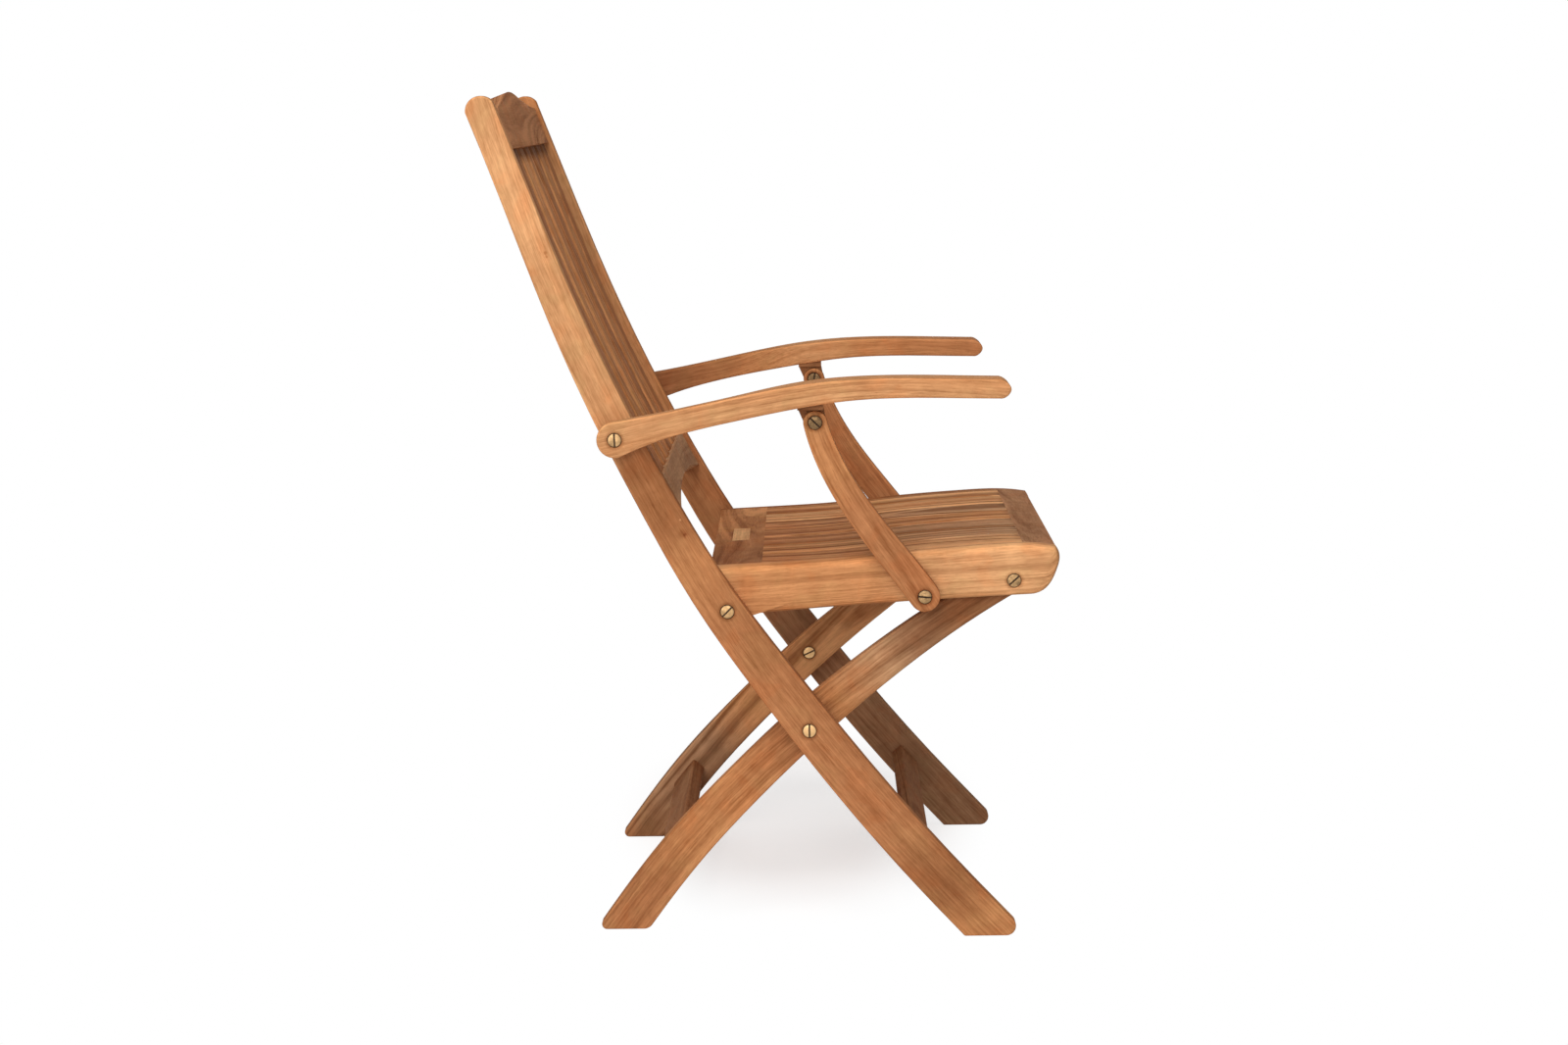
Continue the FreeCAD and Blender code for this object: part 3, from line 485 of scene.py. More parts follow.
    def build(self) -> bpy.types.Material:
        """Teak that reads the attributes plank, stain, figure, pierced, ends and ease."""
        graph = Graph(bpy.data.materials.new(self.name))
        wood = self.read(graph)
        colour = self.aged(graph, wood, self.figured(graph, wood))
        rough = self.roughness + (wood.fibre - MIDDLE) * self.rough_fibre
        rough = rough + wood.pores * self.rough_pores + wood.ends * self.rough_ends
        height = wood.ring * self.relief_ring + wood.fibre * self.relief_fibre
        inputs = {
            "Base Color": colour,
            "Roughness": rough - wood.ease * self.smooth_edges,
            "Normal": graph.bump(height - wood.pores * self.relief_pores, self.pore_depth),
            "Specular IOR Level": self.specular,
        }
        return graph.finish(graph.node("BsdfPrincipled", {}, inputs))


@dataclass(frozen=True)
class BrassFinish:
    """Turned brass, satin, tarnished as worn, dark below its heads' faces by tarnish and painted
    shade, and at their rims by painted shade.
    """

    name: str = "brass"
    clean: Colour = (0.74, 0.46, 0.215)
    tarnished: Colour = (0.185, 0.112, 0.052)
    # dark brown for tarnish in the slots and for painted shade in the counterbores
    grime_and_shade: Colour = (0.045, 0.024, 0.012)
    cloud: Layer = Layer((260.0, 260.0, 260.0), 4.0, weight=1.5)
    grit: Layer = Layer((1600.0, 1600.0, 1600.0), 3.0, weight=0.6)
    scratch: Layer = Layer((300.0, 300.0, 2600.0), weight=0.2)
    sunk_limits: Limits = (0.0008, 0.0013)  # depth below a head's face
    rim_limits: Limits = (0.0064, 0.0076)  # distance from the bolt's axis
    sunk_tarnish_and_shade: float = 0.92
    rim_shade: float = 0.72
    roughness: float = 0.46
    rough_tarnish: float = 0.20
    rough_sunk: float = 0.3
    metallic: float = 0.86
    dull_sunk: float = 0.6
    dull_rim: float = 0.3
    relief_depth: float = 0.00006
    relief_grit: float = 0.5

    def build(self) -> bpy.types.Material:
        """Brass that reads Object coordinates and the attributes depth and wear."""
        graph = Graph(bpy.data.materials.new(self.name))
        place = graph.place()
        sunk = graph.attribute("depth").ramp(*self.sunk_limits)
        rim = graph.near_pivot().ramp(*self.rim_limits)
        cloud, grit = graph.noise(place, self.cloud), graph.noise(place, self.grit)
        scratch = graph.noise(place, self.scratch)
        stain = graph.attribute("wear") + self.cloud.swing(cloud) + self.grit.swing(grit)
        stain = stain.clamped()
        colour = graph.mix(stain, rgba(self.clean), rgba(self.tarnished))
        # painted shade: each head's rim darkened where the counterbore shades it
        colour = graph.mix(rim * self.rim_shade, colour, rgba(self.grime_and_shade))
        # tarnish in the slots and painted shade on the heads' sunk sides
        colour = graph.mix(sunk * self.sunk_tarnish_and_shade, colour, rgba(self.grime_and_shade))
        rough = self.roughness + stain * self.rough_tarnish + self.scratch.swing(scratch)
        inputs = {
            "Base Color": colour,
            "Roughness": rough + sunk * self.rough_sunk,
            "Normal": graph.bump(grit * self.relief_grit + scratch, self.relief_depth),
            "Metallic": self.metallic - sunk * self.dull_sunk - rim * self.dull_rim,
        }
        return graph.finish(graph.node("BsdfPrincipled", {}, inputs))


@dataclass(frozen=True)
class Plank:
    """The plank that a board was sawn from: its grain line, its face and its colours.

    route holds X and Z of places on the board's own centre line where it is bowed, tones holds
    the colour at shares of its length, and figure is how strongly its rings show.
    """

    node: str
    body: str
    start: Point
    end: Point
    tones: Tones
    cut: Cut
    seed: int
    figure: float = 0.3
    face: Point = SIDE_FACE
    route: SideLine = ()
    slot: str = "teak"

    def axes(self) -> np.ndarray:
        """Unit vectors along, across and through the plank, one per row."""
        along = np.subtract(self.end, self.start)
        along /= np.linalg.norm(along)
        through = np.array(self.face, float)
        through -= along * (through @ along)
        through /= np.linalg.norm(through)
        return np.array([along, np.cross(through, along), through])

    def pierced(self) -> float:
        """1 for boards whose broad face lies across the pivots' axes."""
        return 1.0 if self.face == SIDE_FACE else 0.0

    def length(self) -> float:
        """Length of the grain line."""
        return float(np.linalg.norm(np.subtract(self.end, self.start)))

    def sections(self) -> list[tuple[Vector, Vector]]:
        """Planes across the grain line, as point and normal: even steps and changes of tone."""
        along, length = self.axes()[0], self.length()
        stops = [stop * length for stop, _ in self.tones if 0.0 < stop < 1.0]
        steps = (*np.arange(SECTION, length, SECTION), *stops)
        return [(Vector(np.array(self.start) + along * step), Vector(along)) for step in steps]

    def local(self, points: np.ndarray) -> np.ndarray:
        """Distances along, across and through from the start: axes . (point - start) - bow.

        bow is the cubic in the distance along that runs through the route, taken off across,
        so that the grain follows a bowed board. Points and distances are (n, 3), in metres.
        """
        local = (points - np.array(self.start)) @ self.axes().T
        if self.route:
            x, z = np.array(self.route).T
            places = np.stack([x, np.full_like(x, self.start[1]), z], -1)
            line = (places - np.array(self.start)) @ self.axes().T
            bow = np.polyfit(line[:, 0], line[:, 1], BOW_DEGREE)
            local[:, 1] -= np.polyval(bow, local[:, 0])
        return local

    def coordinates(self, points: np.ndarray) -> np.ndarray:
        """(n, 3) distances from the pith: local ones + its place, seeded along the trunk."""
        draw = np.random.default_rng(self.seed)
        across, through = self.cut.value
        side = draw.choice((-1.0, 1.0), 2)
        shift = np.array(
            [
                draw.uniform(0.0, TRUNK_LENGTH),
                side[0] * (across + draw.uniform(-PITH_SHIFT, PITH_SHIFT)),
                side[1] * (through + draw.uniform(-PITH_SHIFT, PITH_SHIFT)),
            ]
        )
        return self.local(points) + shift

    def stain(self, points: np.ndarray) -> np.ndarray:
        """(n, 4) linear colours at (n, 3) places, blended between tones along the grain."""
        share = self.local(points)[:, 0] / self.length()
        stops = np.array([stop for stop, _ in self.tones])
        values = np.array([tone.value for _, tone in self.tones])
        colour = np.stack([np.interp(share, stops, column) for column in values.T], -1)
        return np.hstack([colour, np.ones((len(points), 1))])


@dataclass(frozen=True)
class Fastener:
    """A bolt, pin or block: how tarnished it is and how far it is screwed round, in degrees."""

    node: str
    body: str
    wear: float = 0.4
    turn: float = 0.0


class Joiner:
    """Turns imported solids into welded, smooth pieces that carry plank coordinates."""

    def __init__(
        self, nodes: dict[str, bpy.types.Object], finishes: dict[str, bpy.types.Material]
    ) -> None:
        """Keeps the solids by name and the finish of each slot."""
        self.nodes = nodes
        self.finishes = finishes

    def welded(
        self, name: str, node: str, cuts: list[tuple[Vector, Vector]], turn: float = 0.0
    ) -> bpy.types.Object:
        """Copies a solid, welds its loose triangles and shades it smooth up to an angle.

        Args:
            name: the new piece's name.
            node: the solid's name.
            cuts: point and normal of planes at which its faces are divided.
            turn: degrees by which a round piece is screwed about its own axis along Y.

        Returns:
            The piece, with its large flat faces governing the normals.
        """
        mesh = self.nodes[node].data.copy()
        mesh.name = name
        mesh.materials.clear()
        work = bmesh.new()
        work.from_mesh(mesh)
        bmesh.ops.remove_doubles(work, verts=work.verts, dist=WELD)
        for point, normal in cuts:
            everything = [*work.verts, *work.edges, *work.faces]
            bmesh.ops.bisect_plane(
                work, geom=everything, dist=WELD, plane_co=point, plane_no=normal
            )
        if turn:
            places = np.array([vertex.co for vertex in work.verts])
            middle = Vector((places.min(axis=0) + places.max(axis=0)) / 2)
            spin = Matrix.Rotation(-math.radians(turn), 3, "Y")
            bmesh.ops.rotate(work, verts=work.verts, cent=middle, matrix=spin)
        work.to_mesh(mesh)
        work.free()
        mesh.shade_smooth()
        mesh.set_sharp_from_angle(angle=SMOOTH_ANGLE)
        piece = placed(name, mesh)
        self.weight_normals(piece)
        return piece

    def board(self, plank: Plank) -> bpy.types.Object:
        """Makes the wooden piece that stands for one solid and rides on its body."""
        piece = self.welded("wood_" + plank.node, plank.node, plank.sections())
        mesh = piece.data
        points = self.vertices(mesh)
        self.store(mesh, "plank", plank.coordinates(points))
        self.store(mesh, "stain", plank.stain(points))
        self.store(mesh, "figure", np.full(len(points), plank.figure))
        self.store(mesh, "pierced", np.full(len(points), plank.pierced()))
        ends, ease = self.facing(mesh, plank)
        self.store(mesh, "ends", ends, "CORNER")
        self.store(mesh, "ease", ease, "CORNER")
        return self.fitted(piece, plank.node, plank.body, plank.slot)

    def fastener(self, pin: Fastener) -> bpy.types.Object:
        """Makes the brass piece that stands for one bolt, pin or block.

        The attribute depth is min(y - low, high - y), the distance below the nearer end's face.
        """
        piece = self.welded("brass_" + pin.node, pin.node, [], pin.turn)
        y = self.vertices(piece.data)[:, 1]
        self.store(piece.data, "depth", np.minimum(y - y.min(), y.max() - y))
        self.store(piece.data, "wear", np.full(len(y), pin.wear))
        return self.fitted(piece, pin.node, pin.body, "brass")

    def fitted(self, piece: bpy.types.Object, node: str, body: str, slot: str) -> bpy.types.Object:
        """Gives a piece its finish and puts it in its solid's place.

        Args:
            piece: the piece.
            node: the solid that it stands for.
            body: the body that it rides on.
            slot: its slot, which names its finish.

        Returns:
            The same piece.
        """
        piece.data.materials.append(self.finishes[slot])
        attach(piece, body)
        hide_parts(node)
        LOG.info("%s on %s: %d faces", piece.name, body, len(piece.data.polygons))
        return piece

    @staticmethod
    def vertices(mesh: bpy.types.Mesh) -> np.ndarray:
        """(n, 3) places of a mesh's vertices, in metres."""
        points = np.empty(len(mesh.vertices) * 3, np.float32)
        mesh.vertices.foreach_get("co", points)
        return points.reshape(-1, 3).astype(float)

    @staticmethod
    def facing(mesh: bpy.types.Mesh, plank: Plank) -> tuple[np.ndarray, np.ndarray]:
        """End grain and ease at each corner, by how its normal n lies to the plank.

        End grain is (|n along| - END_FROM) / END_OVER, held between 0 and 1. The ease of an edge
        is (4 f (1 - f))^2 with f = (n through)^2, which is 1 halfway round the edge.
        """
        normals = np.empty(len(mesh.loops) * 3, np.float32)
        mesh.corner_normals.foreach_get("vector", normals)
        turned = normals.reshape(-1, 3) @ plank.axes().T
        ends = np.clip((np.abs(turned[:, 0]) - END_FROM) / END_OVER, 0.0, 1.0)
        flat = turned[:, 2] ** 2
        return ends, np.clip(4.0 * flat * (1.0 - flat), 0.0, 1.0) ** 2

    @staticmethod
    def weight_normals(piece: bpy.types.Object) -> None:
        """Lets large faces govern the normals, so that flats stay flat beside round edges.

        The piece's mesh is replaced by the weighted one of the same name.
        """
        modifier = piece.modifiers.new("normals", "WEIGHTED_NORMAL")
        modifier.weight = FACE_WEIGHT
        modifier.keep_sharp = True
        scene = bpy.context.evaluated_depsgraph_get()
        solved = bpy.data.meshes.new_from_object(piece.evaluated_get(scene), depsgraph=scene)
        piece.modifiers.clear()
        old = piece.data
        name = old.name
        piece.data = solved
        bpy.data.meshes.remove(old)
        solved.name = name

    @staticmethod
    def store(mesh: bpy.types.Mesh, name: str, values: np.ndarray, domain: str = "POINT") -> None:
        """Writes one attribute.

        Args:
            mesh: the mesh.
            name: the attribute's name.
            values: one number or one row of 3 or 4 per element.
            domain: POINT or CORNER.
        """
        kind, key = ATTRIBUTE_KINDS[1 if values.ndim == 1 else values.shape[1]]
        attribute = mesh.attributes.new(name, kind, domain)
        attribute.data.foreach_set(key, np.ascontiguousarray(values, np.float32).ravel())


def all_along(tone: Tone) -> Tones:
    """One tone over a board's whole length."""
    return ((0.0, tone),)


def mirrored(point: Point) -> Point:
    """The same point on the chair's other side."""
    return (point[0], -point[1], point[2])


def across_chair(point: Point, half: float) -> tuple[Point, Point]:
    """Start and end of a grain line that runs across the chair at a side view's point."""
    return (point[0], -half, point[2]), (point[0], half, point[2])


class SubAssembly:
    """Pieces that are dressed together."""

    def planks(self) -> list[Plank]:
        """Its boards."""
        raise NotImplementedError

    def fasteners(self) -> list[Fastener]:
        """Its bolts, pins and blocks."""
        raise NotImplementedError

    def dress(self, joiner: Joiner) -> None:
        """Makes the boards and then the brass."""
        for plank in self.planks():
            joiner.board(plank)
        for pin in self.fasteners():
            joiner.fastener(pin)


@dataclass
class BackFrame(SubAssembly):
    """Stiles, rails, back slats and the front stretcher: everything that stands still."""

    body: str = "back_frame"
    top: Point = (-0.3095, 0.25, 0.938)
    foot: Point = (0.252, 0.25, 0.0)
    bow: SideLine = (
        (-0.3095, 0.938), (-0.2187, 0.700), (-0.124, 0.500), (-0.0674, 0.400),
        (0.0022, 0.300), (0.078, 0.200), (0.1605, 0.100), (0.252, 0.0),
    )
    rail_half: float = 0.24
    lean: Point = (0.93, 0.0, 0.35)
    slat_top: Point = (-0.30, 0.0, 0.90)
    slat_foot: Point = (-0.12, 0.0, 0.50)

    def stiles(self) -> list[Plank]:
        """Right and left stile; the near one is paler at its top, a painted highlight of light
        from above, and the far one darkens towards its foot, painted shade.
        """
        near = (
            (0.0, Tone.HONEY), (0.06, Tone.FAWN), (0.12, Tone.FAWN), (0.17, Tone.HONEY),
            (0.36, Tone.HONEY), (0.385, Tone.RUSSET), (0.46, Tone.RUSSET), (0.505, Tone.AMBER),
            (0.57, Tone.COPPER), (0.86, Tone.COPPER), (0.91, Tone.RUSSET), (0.94, Tone.RUSSET),
            (0.975, Tone.AMBER),
        )
        far = (
            (0.0, Tone.AMBER), (0.12, Tone.HONEY), (0.36, Tone.AMBER), (0.44, Tone.COPPER),
            (0.52, Tone.RUSSET), (0.7, Tone.SMOKE), (1.0, Tone.SMOKE),
        )
        return [
            Plank(
                "stile_right", self.body, mirrored(self.top), mirrored(self.foot), near,
                Cut.RIFT, seed=11, figure=0.34, route=self.bow,
            ),
            Plank(
                "stile_left", self.body, self.top, self.foot, far,
                Cut.RIFT, seed=12, figure=0.34, route=self.bow,
            ),
        ]

    def rails(self) -> list[Plank]:
        """Crest rail, lower back rail, front stretcher and the spacers at the leg pivots."""
        crest = across_chair((-0.29, 0.0, 0.92), self.rail_half)
        lower = across_chair((-0.12, 0.0, 0.5), self.rail_half)
        stretcher = across_chair((0.1645, 0.0, 0.09), self.rail_half)
        spacer = across_chair((0.04, 0.0, 0.24), self.rail_half)
        return [
            Plank(
                "top_rail", self.body, *crest, all_along(Tone.COPPER),
                Cut.FLAT, seed=13, figure=1.0, face=self.lean,
            ),
            Plank(
                "lower_back_rail", self.body, *lower, all_along(Tone.PUTTY),
                Cut.FLAT, seed=14, figure=0.7, face=self.lean,
            ),
            Plank(
                "front_stretcher", self.body, *stretcher, all_along(Tone.UMBER),
                Cut.FLAT, seed=15, figure=0.6, face=(0.77, 0.0, 0.64),
            ),
            *(
                Plank(
                    f"leg_spacer_{side}", self.body, *spacer, all_along(Tone.COPPER),
                    Cut.RIFT, seed=30, face=(1.0, 0.0, 0.0),
                )
                for side in ("left", "right")
            ),
        ]

    def back_slats(self) -> list[Plank]:
        """Seven upright slats from as many planks, with the crest rail's shadow painted where they
        enter it.
        """
        tones = (
            Tone.AMBER, Tone.COPPER, Tone.AMBER, Tone.AMBER, Tone.COPPER, Tone.AMBER, Tone.COPPER
        )
        cuts = (Cut.QUARTER, Cut.RIFT, Cut.RIFT)
        return [
            Plank(
                f"back_slat_{index + 1}", self.body, self.slat_top, self.slat_foot,
                # painted shadow of the crest rail at each slat's top
                ((0.0, Tone.SLAT_SHADOW), (0.052, Tone.SLAT_SHADOW), (0.078, tone)),
                cuts[index % len(cuts)], seed=20 + index, figure=0.8, face=self.lean,
            )
            for index, tone in enumerate(tones)
        ]

    def planks(self) -> list[Plank]:
        """Stiles, rails and slats."""
        return [*self.stiles(), *self.rails(), *self.back_slats()]

    def fasteners(self) -> list[Fastener]:
        """Leg, seat and arm pivot bolts of both sides, tarnished and turned as they show."""
        return [
            Fastener("leg_pivot_bolt_right", self.body, wear=0.06, turn=110.0),
            Fastener("leg_pivot_bolt_left", self.body, wear=0.12, turn=100.0),
            Fastener("seat_pivot_bolt_right", self.body, wear=0.34, turn=120.0),
            Fastener("seat_pivot_bolt_left", self.body),
            Fastener("arm_pivot_bolt_right", self.body, wear=0.50),
            Fastener("arm_pivot_bolt_left", self.body),
        ]


@dataclass
class Seat(SubAssembly):
    """Side rails, cross rails, slats and plug: everything that swings up with the seat."""

    body: str = "seat_frame"
    rear: Point = (-0.06, 0.23, 0.400)
    front: Point = (0.32, 0.23, 0.424)
    rail_half: float = 0.22
    up: Point = (-0.05, 0.0, 1.0)
    slat_rear: Point = (-0.01, 0.0, 0.42)
    slat_front: Point = (0.285, 0.0, 0.44)

    def rails(self) -> list[Plank]:
        """Side rails, right and left, grain along them, then front and rear rail."""
        near = (
            (0.0, Tone.HONEY), (0.08, Tone.AMBER), (0.20, Tone.AMBER), (0.45, Tone.AMBER),
            (0.62, Tone.HONEY), (0.86, Tone.FAWN), (1.0, Tone.HONEY),
        )
        rear_tones = ((0.0, Tone.UMBER), (0.35, Tone.RUSSET), (0.8, Tone.AMBER), (1.0, Tone.AMBER))
        front_rail = across_chair((0.305, 0.0, 0.44), self.rail_half)
        rear_rail = across_chair((-0.035, 0.0, 0.42), self.rail_half)
        return [
            Plank(
                "seat_rail_right", self.body, mirrored(self.rear), mirrored(self.front), near,
                Cut.RIFT, seed=41, figure=0.5,
            ),
            Plank(
                "seat_rail_left", self.body, self.rear, self.front, all_along(Tone.RUSSET),
                Cut.RIFT, seed=42, figure=0.4,
            ),
            Plank(
                "seat_front_rail", self.body, *front_rail, all_along(Tone.DUSK),
                Cut.FLAT, seed=43, figure=0.8, face=self.up,
            ),
            Plank(
                "seat_rear_rail", self.body, *rear_rail, rear_tones,
                Cut.FLAT, seed=44, figure=0.9, face=self.up,
            ),
        ]

    def seat_slats(self) -> list[Plank]:
        """Seven slats from as many planks, most of them paler towards the front."""
        rear = (
            Tone.COPPER, Tone.AMBER, Tone.COPPER, Tone.COPPER, Tone.COPPER, Tone.HONEY, Tone.AMBER
        )
        front = (
            Tone.HONEY, Tone.PUTTY, Tone.PUTTY, Tone.AMBER, Tone.PUTTY, Tone.HONEY, Tone.FAWN
        )
        cuts = (Cut.RIFT, Cut.RIFT, Cut.QUARTER)
        return [
            Plank(
                f"seat_slat_{index + 1}", self.body, self.slat_rear, self.slat_front,
                ((0.1, pair[0]), (0.95, pair[1])),
                cuts[index % len(cuts)], seed=50 + index, figure=1.4, face=self.up,
            )
            for index, pair in enumerate(zip(rear, front))
        ]

    def plug(self) -> Plank:
        """The patch let into the rear cross rail, in its own wood."""
        ends = across_chair((-0.037, 0.0, 0.42), self.rail_half)
        return Plank(
            "seat_plug", self.body, *ends, all_along(Tone.FAWN),
            Cut.RIFT, seed=45, figure=0.35, face=self.up, slot="plug_wood",
        )

    def planks(self) -> list[Plank]:
        """Rails, slats and plug."""
        return [*self.rails(), *self.seat_slats(), self.plug()]

    def fasteners(self) -> list[Fastener]:
        """The bolts over the leg tops and those on which the struts stand."""
        return [
            Fastener("stop_bolt_right", self.body, wear=0.62, turn=92.0),
            Fastener("stop_bolt_left", self.body),
            Fastener("strut_foot_bolt_right", self.body, wear=0.66),
            Fastener("strut_foot_bolt_left", self.body),
        ]


@dataclass
class Legs(SubAssembly):
    """The crossed rear legs and their stretcher."""

    body: str = "leg_frame"
    foot: Point = (-0.175, 0.208, 0.0)
    top: Point = (0.274, 0.208, 0.405)
    bow: SideLine = (
        (-0.175, 0.0), (-0.1015, 0.096), (-0.0295, 0.1725), (0.0423, 0.2405),
        (0.1115, 0.298), (0.1885, 0.354), (0.274, 0.405),
    )
    rail_half: float = 0.2

    def planks(self) -> list[Plank]:
        """Right and left leg, grain along their bow, and the rear stretcher."""
        # The dull brown stops paint shade on the stretches of the legs that lie in shadow.
        near = (
            (0.0, Tone.COPPER), (0.1, Tone.COPPER), (0.2, Tone.AMBER), (0.35, Tone.AMBER),
            (0.48, Tone.COPPER), (0.60, Tone.AMBER), (0.71, Tone.PUTTY), (0.77, Tone.SMOKE),
            (0.88, Tone.UMBER), (1.0, Tone.UMBER),
        )
        far = (
            (0.0, Tone.UMBER), (0.1, Tone.SMOKE), (0.25, Tone.SMOKE), (0.36, Tone.AMBER),
            (0.48, Tone.AMBER), (0.70, Tone.HONEY), (0.78, Tone.COPPER), (1.0, Tone.SMOKE),
        )
        stretcher = across_chair((-0.11, 0.0, 0.08), self.rail_half)
        return [
            Plank(
                "leg_right", self.body, mirrored(self.foot), mirrored(self.top), near,
                Cut.RIFT, seed=61, figure=0.5, route=self.bow,
            ),
            Plank(
                "leg_left", self.body, self.foot, self.top, far,
                Cut.FLAT, seed=62, figure=1.1, route=self.bow,
            ),
            Plank(
                "rear_stretcher", self.body, *stretcher, all_along(Tone.UMBER),
                Cut.FLAT, seed=63, figure=0.5, face=(-0.79, 0.0, 0.61),
            ),
        ]

    def fasteners(self) -> list[Fastener]:
        """The pins in the legs' tops."""
        return [Fastener(f"leg_top_pin_{side}", self.body) for side in ("left", "right")]


@dataclass
class Armrest(SubAssembly):
    """One arm with the lug under it, the strut that carries it and the slide below."""

    side: str
    tones: Tones
    strut_tones: Tones
    seed: int
    middle: float = 0.26
    lug_rear: SidePoint = (0.02, 0.605)
    lug_front: SidePoint = (0.08, 0.605)
    bow: SideLine = (
        (-0.168, 0.5765), (-0.1023, 0.588), (-0.0349, 0.606), (0.0417, 0.620),
        (0.100, 0.6258), (0.185, 0.627), (0.255, 0.625),
    )
    strut_bow: SideLine = (
        (0.0528, 0.588), (0.087, 0.509), (0.130, 0.448), (0.173, 0.391),
    )

    def beside(self, place: SidePoint) -> Point:
        """A side view's X and Z on this arm's side of the chair."""
        return (place[0], self.middle if self.side == "left" else -self.middle, place[1])

    def planks(self) -> list[Plank]:
        """This side's arm, lug and strut."""
        arm, strut = f"arm_unit_{self.side}", f"strut_unit_{self.side}"
        return [
            Plank(
                f"arm_{self.side}", arm, self.beside(self.bow[0]), self.beside(self.bow[-1]),
                self.tones, Cut.RIFT, seed=self.seed, figure=0.4, route=self.bow,
            ),
            Plank(
                f"arm_lug_{self.side}", arm, self.beside(self.lug_rear),
                self.beside(self.lug_front), all_along(Tone.UMBER), Cut.RIFT, self.seed + 1,
            ),
            Plank(
                f"strut_{self.side}", strut, self.beside(self.strut_bow[0]),
                self.beside(self.strut_bow[-1]), self.strut_tones, Cut.RIFT,
                seed=self.seed + 2, figure=0.5, route=self.strut_bow,
            ),
        ]

    def fasteners(self) -> list[Fastener]:
        """The bolt at this side's strut top and its slide block."""
        bolt, block = f"strut_top_bolt_{self.side}", f"slide_block_{self.side}"
        return [
            Fastener(bolt, f"arm_unit_{self.side}", wear=0.92, turn=-85.0),
            Fastener(block, f"slide_unit_{self.side}"),
        ]


def armrests() -> tuple[Armrest, Armrest]:
    """The left armrest, far and darker at its ends, partly painted shade, and the near one, plain
    honey.
    """
    far = (
        (0.0, Tone.UMBER), (0.15, Tone.COPPER), (0.35, Tone.AMBER), (0.53, Tone.HONEY),
        (0.68, Tone.AMBER), (1.0, Tone.COPPER),
    )
    near_strut = ((0.0, Tone.AMBER), (0.25, Tone.AMBER), (0.45, Tone.COPPER), (1.0, Tone.COPPER))
    near = ((0.0, Tone.HONEY), (0.4, Tone.HONEY), (1.0, Tone.HONEY))
    return (
        Armrest("left", far, all_along(Tone.COPPER), seed=70),
        Armrest("right", near, near_strut, seed=80),
    )


@dataclass(frozen=True)
class SoftBox:
    """A square lamp: its centre, the point that it faces, the side of its square and watts."""

    name: str
    place: Point
    aim: Point
    size: float
    power: float
    colour: Colour = (1.0, 0.985, 0.965)

    def hang(self) -> None:
        """Adds the lamp to the scene."""
        light = bpy.data.lights.new(self.name, "AREA")
        light.shape = "SQUARE"
        light.size = self.size
        light.energy = self.power
        light.color = self.colour
        lamp = placed(self.name, light)
        way = Vector(self.aim) - Vector(self.place)
        lamp.location = self.place
        lamp.rotation_euler = way.to_track_quat("-Z", "Y").to_euler()


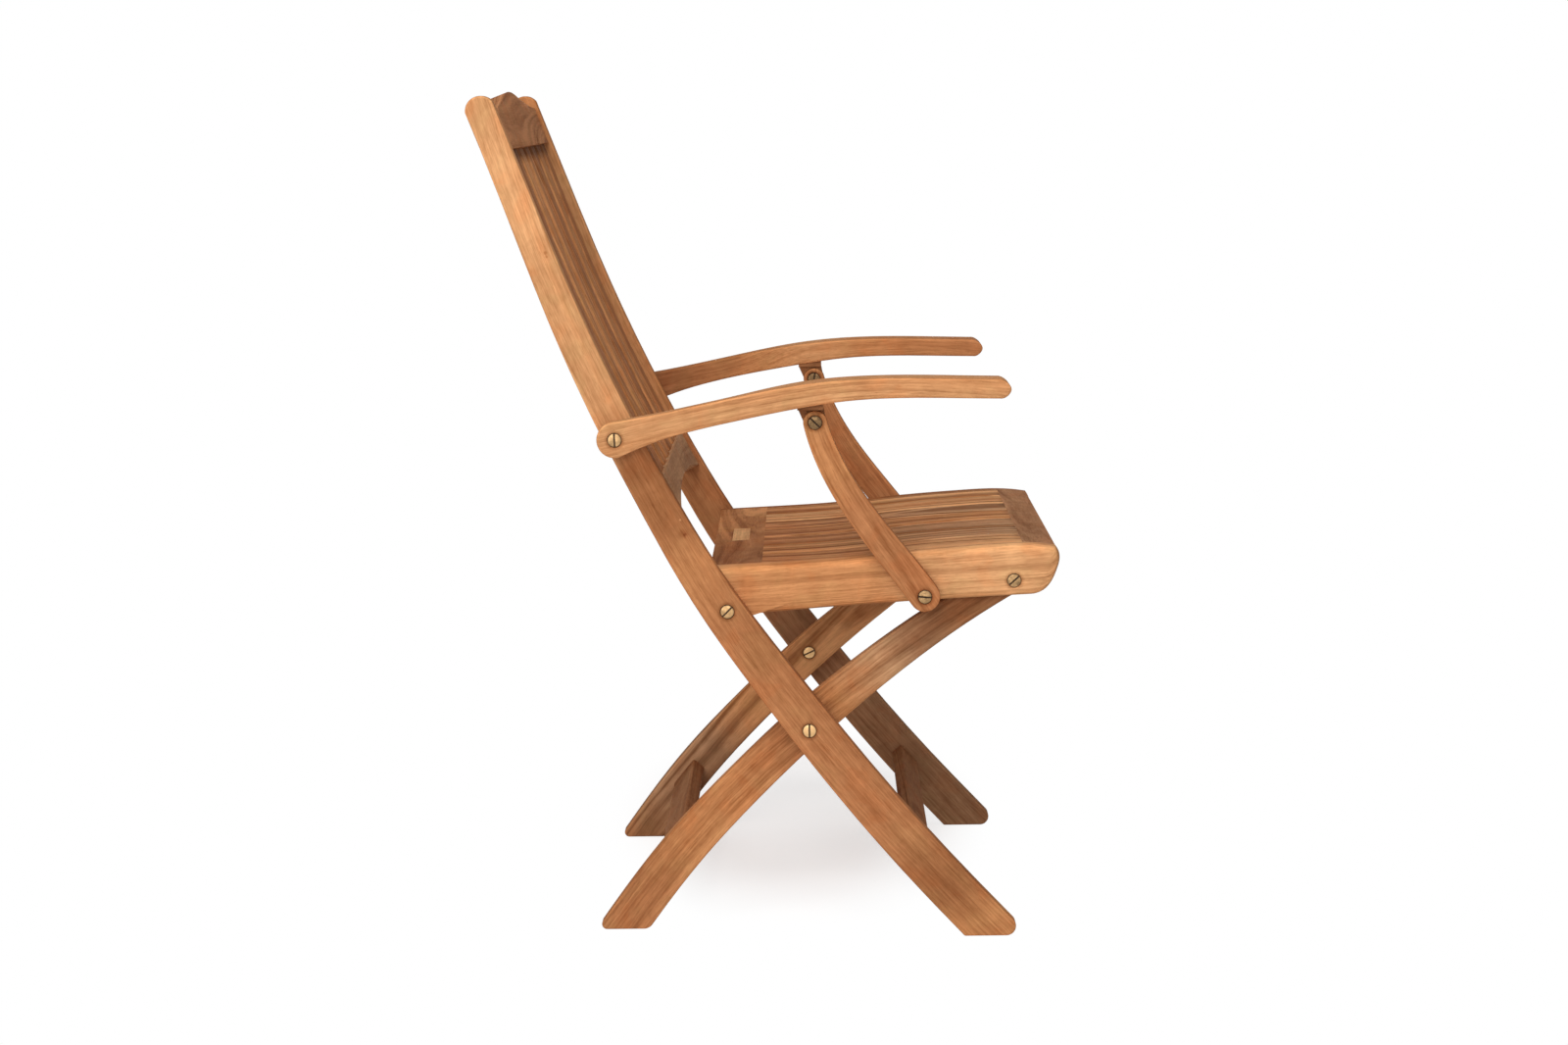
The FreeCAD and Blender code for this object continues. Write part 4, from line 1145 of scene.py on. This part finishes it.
@dataclass(frozen=True)
class Studio:
    """White studio: a pale floor that keeps the shadow, a white world and soft lamps.

    The floor is plain near the chair and turns white between the shares of sweep_fade of the
    ellipse that has sweep_reach as its half axes. The camera's angles are in degrees.
    """

    floor_size: float = 60.0
    floor_colour: Colour = (0.80, 0.785, 0.79)
    floor_lift: float = 0.49
    sweep_centre: Point = (0.025, 0.33, 0.0)
    sweep_reach: Point = (0.29, 0.64, 1.0)
    sweep_fade: Limits = (0.4, 0.9)
    sky_colour: Colour = (1.0, 0.99, 0.975)
    sky_light: float = 0.365
    lamps: tuple[SoftBox, ...] = (
        SoftBox("key", (-1.0, -4.3, 2.1), (0.0, 0.0, 0.5), 2.4, 106.0),
        SoftBox("top", (-0.5, -2.3, 3.6), (0.0, 0.0, 0.4), 1.5, 45.0),
    )
    lens: float = 65.405
    sensor: float = 36.0
    far_clip: float = 200.0
    eye: Point = (0.0484, -3.3898, 0.9419)
    yaw: float = -0.576
    pitch: float = 8.444
    roll: float = -0.796

    def floor(self) -> None:
        """Lays the floor: z = 0 over a square grid of corners."""
        half = self.floor_size / 2
        side = np.array([-half, half])
        x, y = np.meshgrid(side, side, indexing="ij")
        places = np.stack([x, y, np.zeros_like(x)], -1).reshape(-1, 3)
        mesh = bpy.data.meshes.new("floor")
        mesh.from_pydata(places.tolist(), [], [(0, 2, 3, 1)])
        mesh.materials.append(self.floor_finish())
        placed("floor", mesh)

    def floor_finish(self) -> bpy.types.Material:
        """Matte floor, lifted for the eye, that turns plain white away from the chair."""
        graph = Graph(bpy.data.materials.new("floor"))
        settings = {"operation": "SUBTRACT"}
        offset = graph.node("VectorMath", settings, {0: graph.place(), 1: self.sweep_centre})
        shares = graph.scaled(offset, tuple(1.0 / reach for reach in self.sweep_reach))
        away = graph.node("VectorMath", {"operation": "LENGTH"}, {0: shares})
        shown = graph.shown()
        matte = graph.node("BsdfDiffuse", {}, {"Color": rgba(self.floor_colour)})
        lift = graph.node("Emission", {}, {"Strength": shown * self.floor_lift})
        near = graph.node("AddShader", {}, {0: matte, 1: lift})
        white = graph.node("Emission", {}, {"Color": rgba(WHITE), "Strength": 1.0})
        far = away.ramp(*self.sweep_fade) * shown
        return graph.finish(graph.node("MixShader", {}, {0: far, 1: near, 2: white}))

    def world(self) -> None:
        """Sets a soft even sky that shows as plain white."""
        world = bpy.data.worlds.new("studio")
        bpy.context.scene.world = world
        graph = Graph(world)
        sky = {"Color": rgba(self.sky_colour), "Strength": self.sky_light}
        soft = graph.node("Background", {}, sky)
        white = graph.node("Background", {}, {"Color": rgba(WHITE), "Strength": 1.0})
        graph.finish(graph.node("MixShader", {}, {0: graph.shown(), 1: soft, 2: white}))

    def camera(self) -> None:
        """Sets the camera: forward, right and up from yaw, pitch and roll."""
        yaw, pitch, roll = (math.radians(angle) for angle in (self.yaw, self.pitch, self.roll))
        forward = Vector(
            (math.sin(yaw) * math.cos(pitch), math.cos(yaw) * math.cos(pitch), -math.sin(pitch))
        )
        level = Vector((math.cos(yaw), -math.sin(yaw), 0.0))
        above = level.cross(forward)
        right = level * math.cos(roll) + above * math.sin(roll)
        up = above * math.cos(roll) - level * math.sin(roll)
        data = bpy.data.cameras.new("camera")
        data.lens = self.lens
        data.sensor_width = self.sensor
        data.clip_end = self.far_clip
        camera = placed("camera", data)
        turn = Matrix((right, up, -forward)).transposed().to_4x4()
        camera.matrix_world = Matrix.Translation(self.eye) @ turn
        bpy.context.scene.camera = camera

    def build(self) -> None:
        """Sets up floor, world, lamps, camera and view."""
        self.floor()
        self.world()
        for lamp in self.lamps:
            lamp.hang()
        self.camera()
        bpy.context.scene.view_settings.view_transform = "Standard"


def main() -> None:
    """Builds the chair's looks and the studio round it."""
    logging.basicConfig(level=logging.INFO, format="%(name)s: %(message)s")
    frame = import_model()
    finishes = {
        "teak": TeakFinish().build(),
        "plug_wood": TeakFinish("plug_wood", marks=()).build(),
        "brass": BrassFinish().build(),
    }
    joiner = Joiner(frame["nodes"], finishes)
    for part in (BackFrame(), Seat(), Legs(), *armrests()):
        part.dress(joiner)
    Studio().build()


if __name__ == "__main__":
    main()
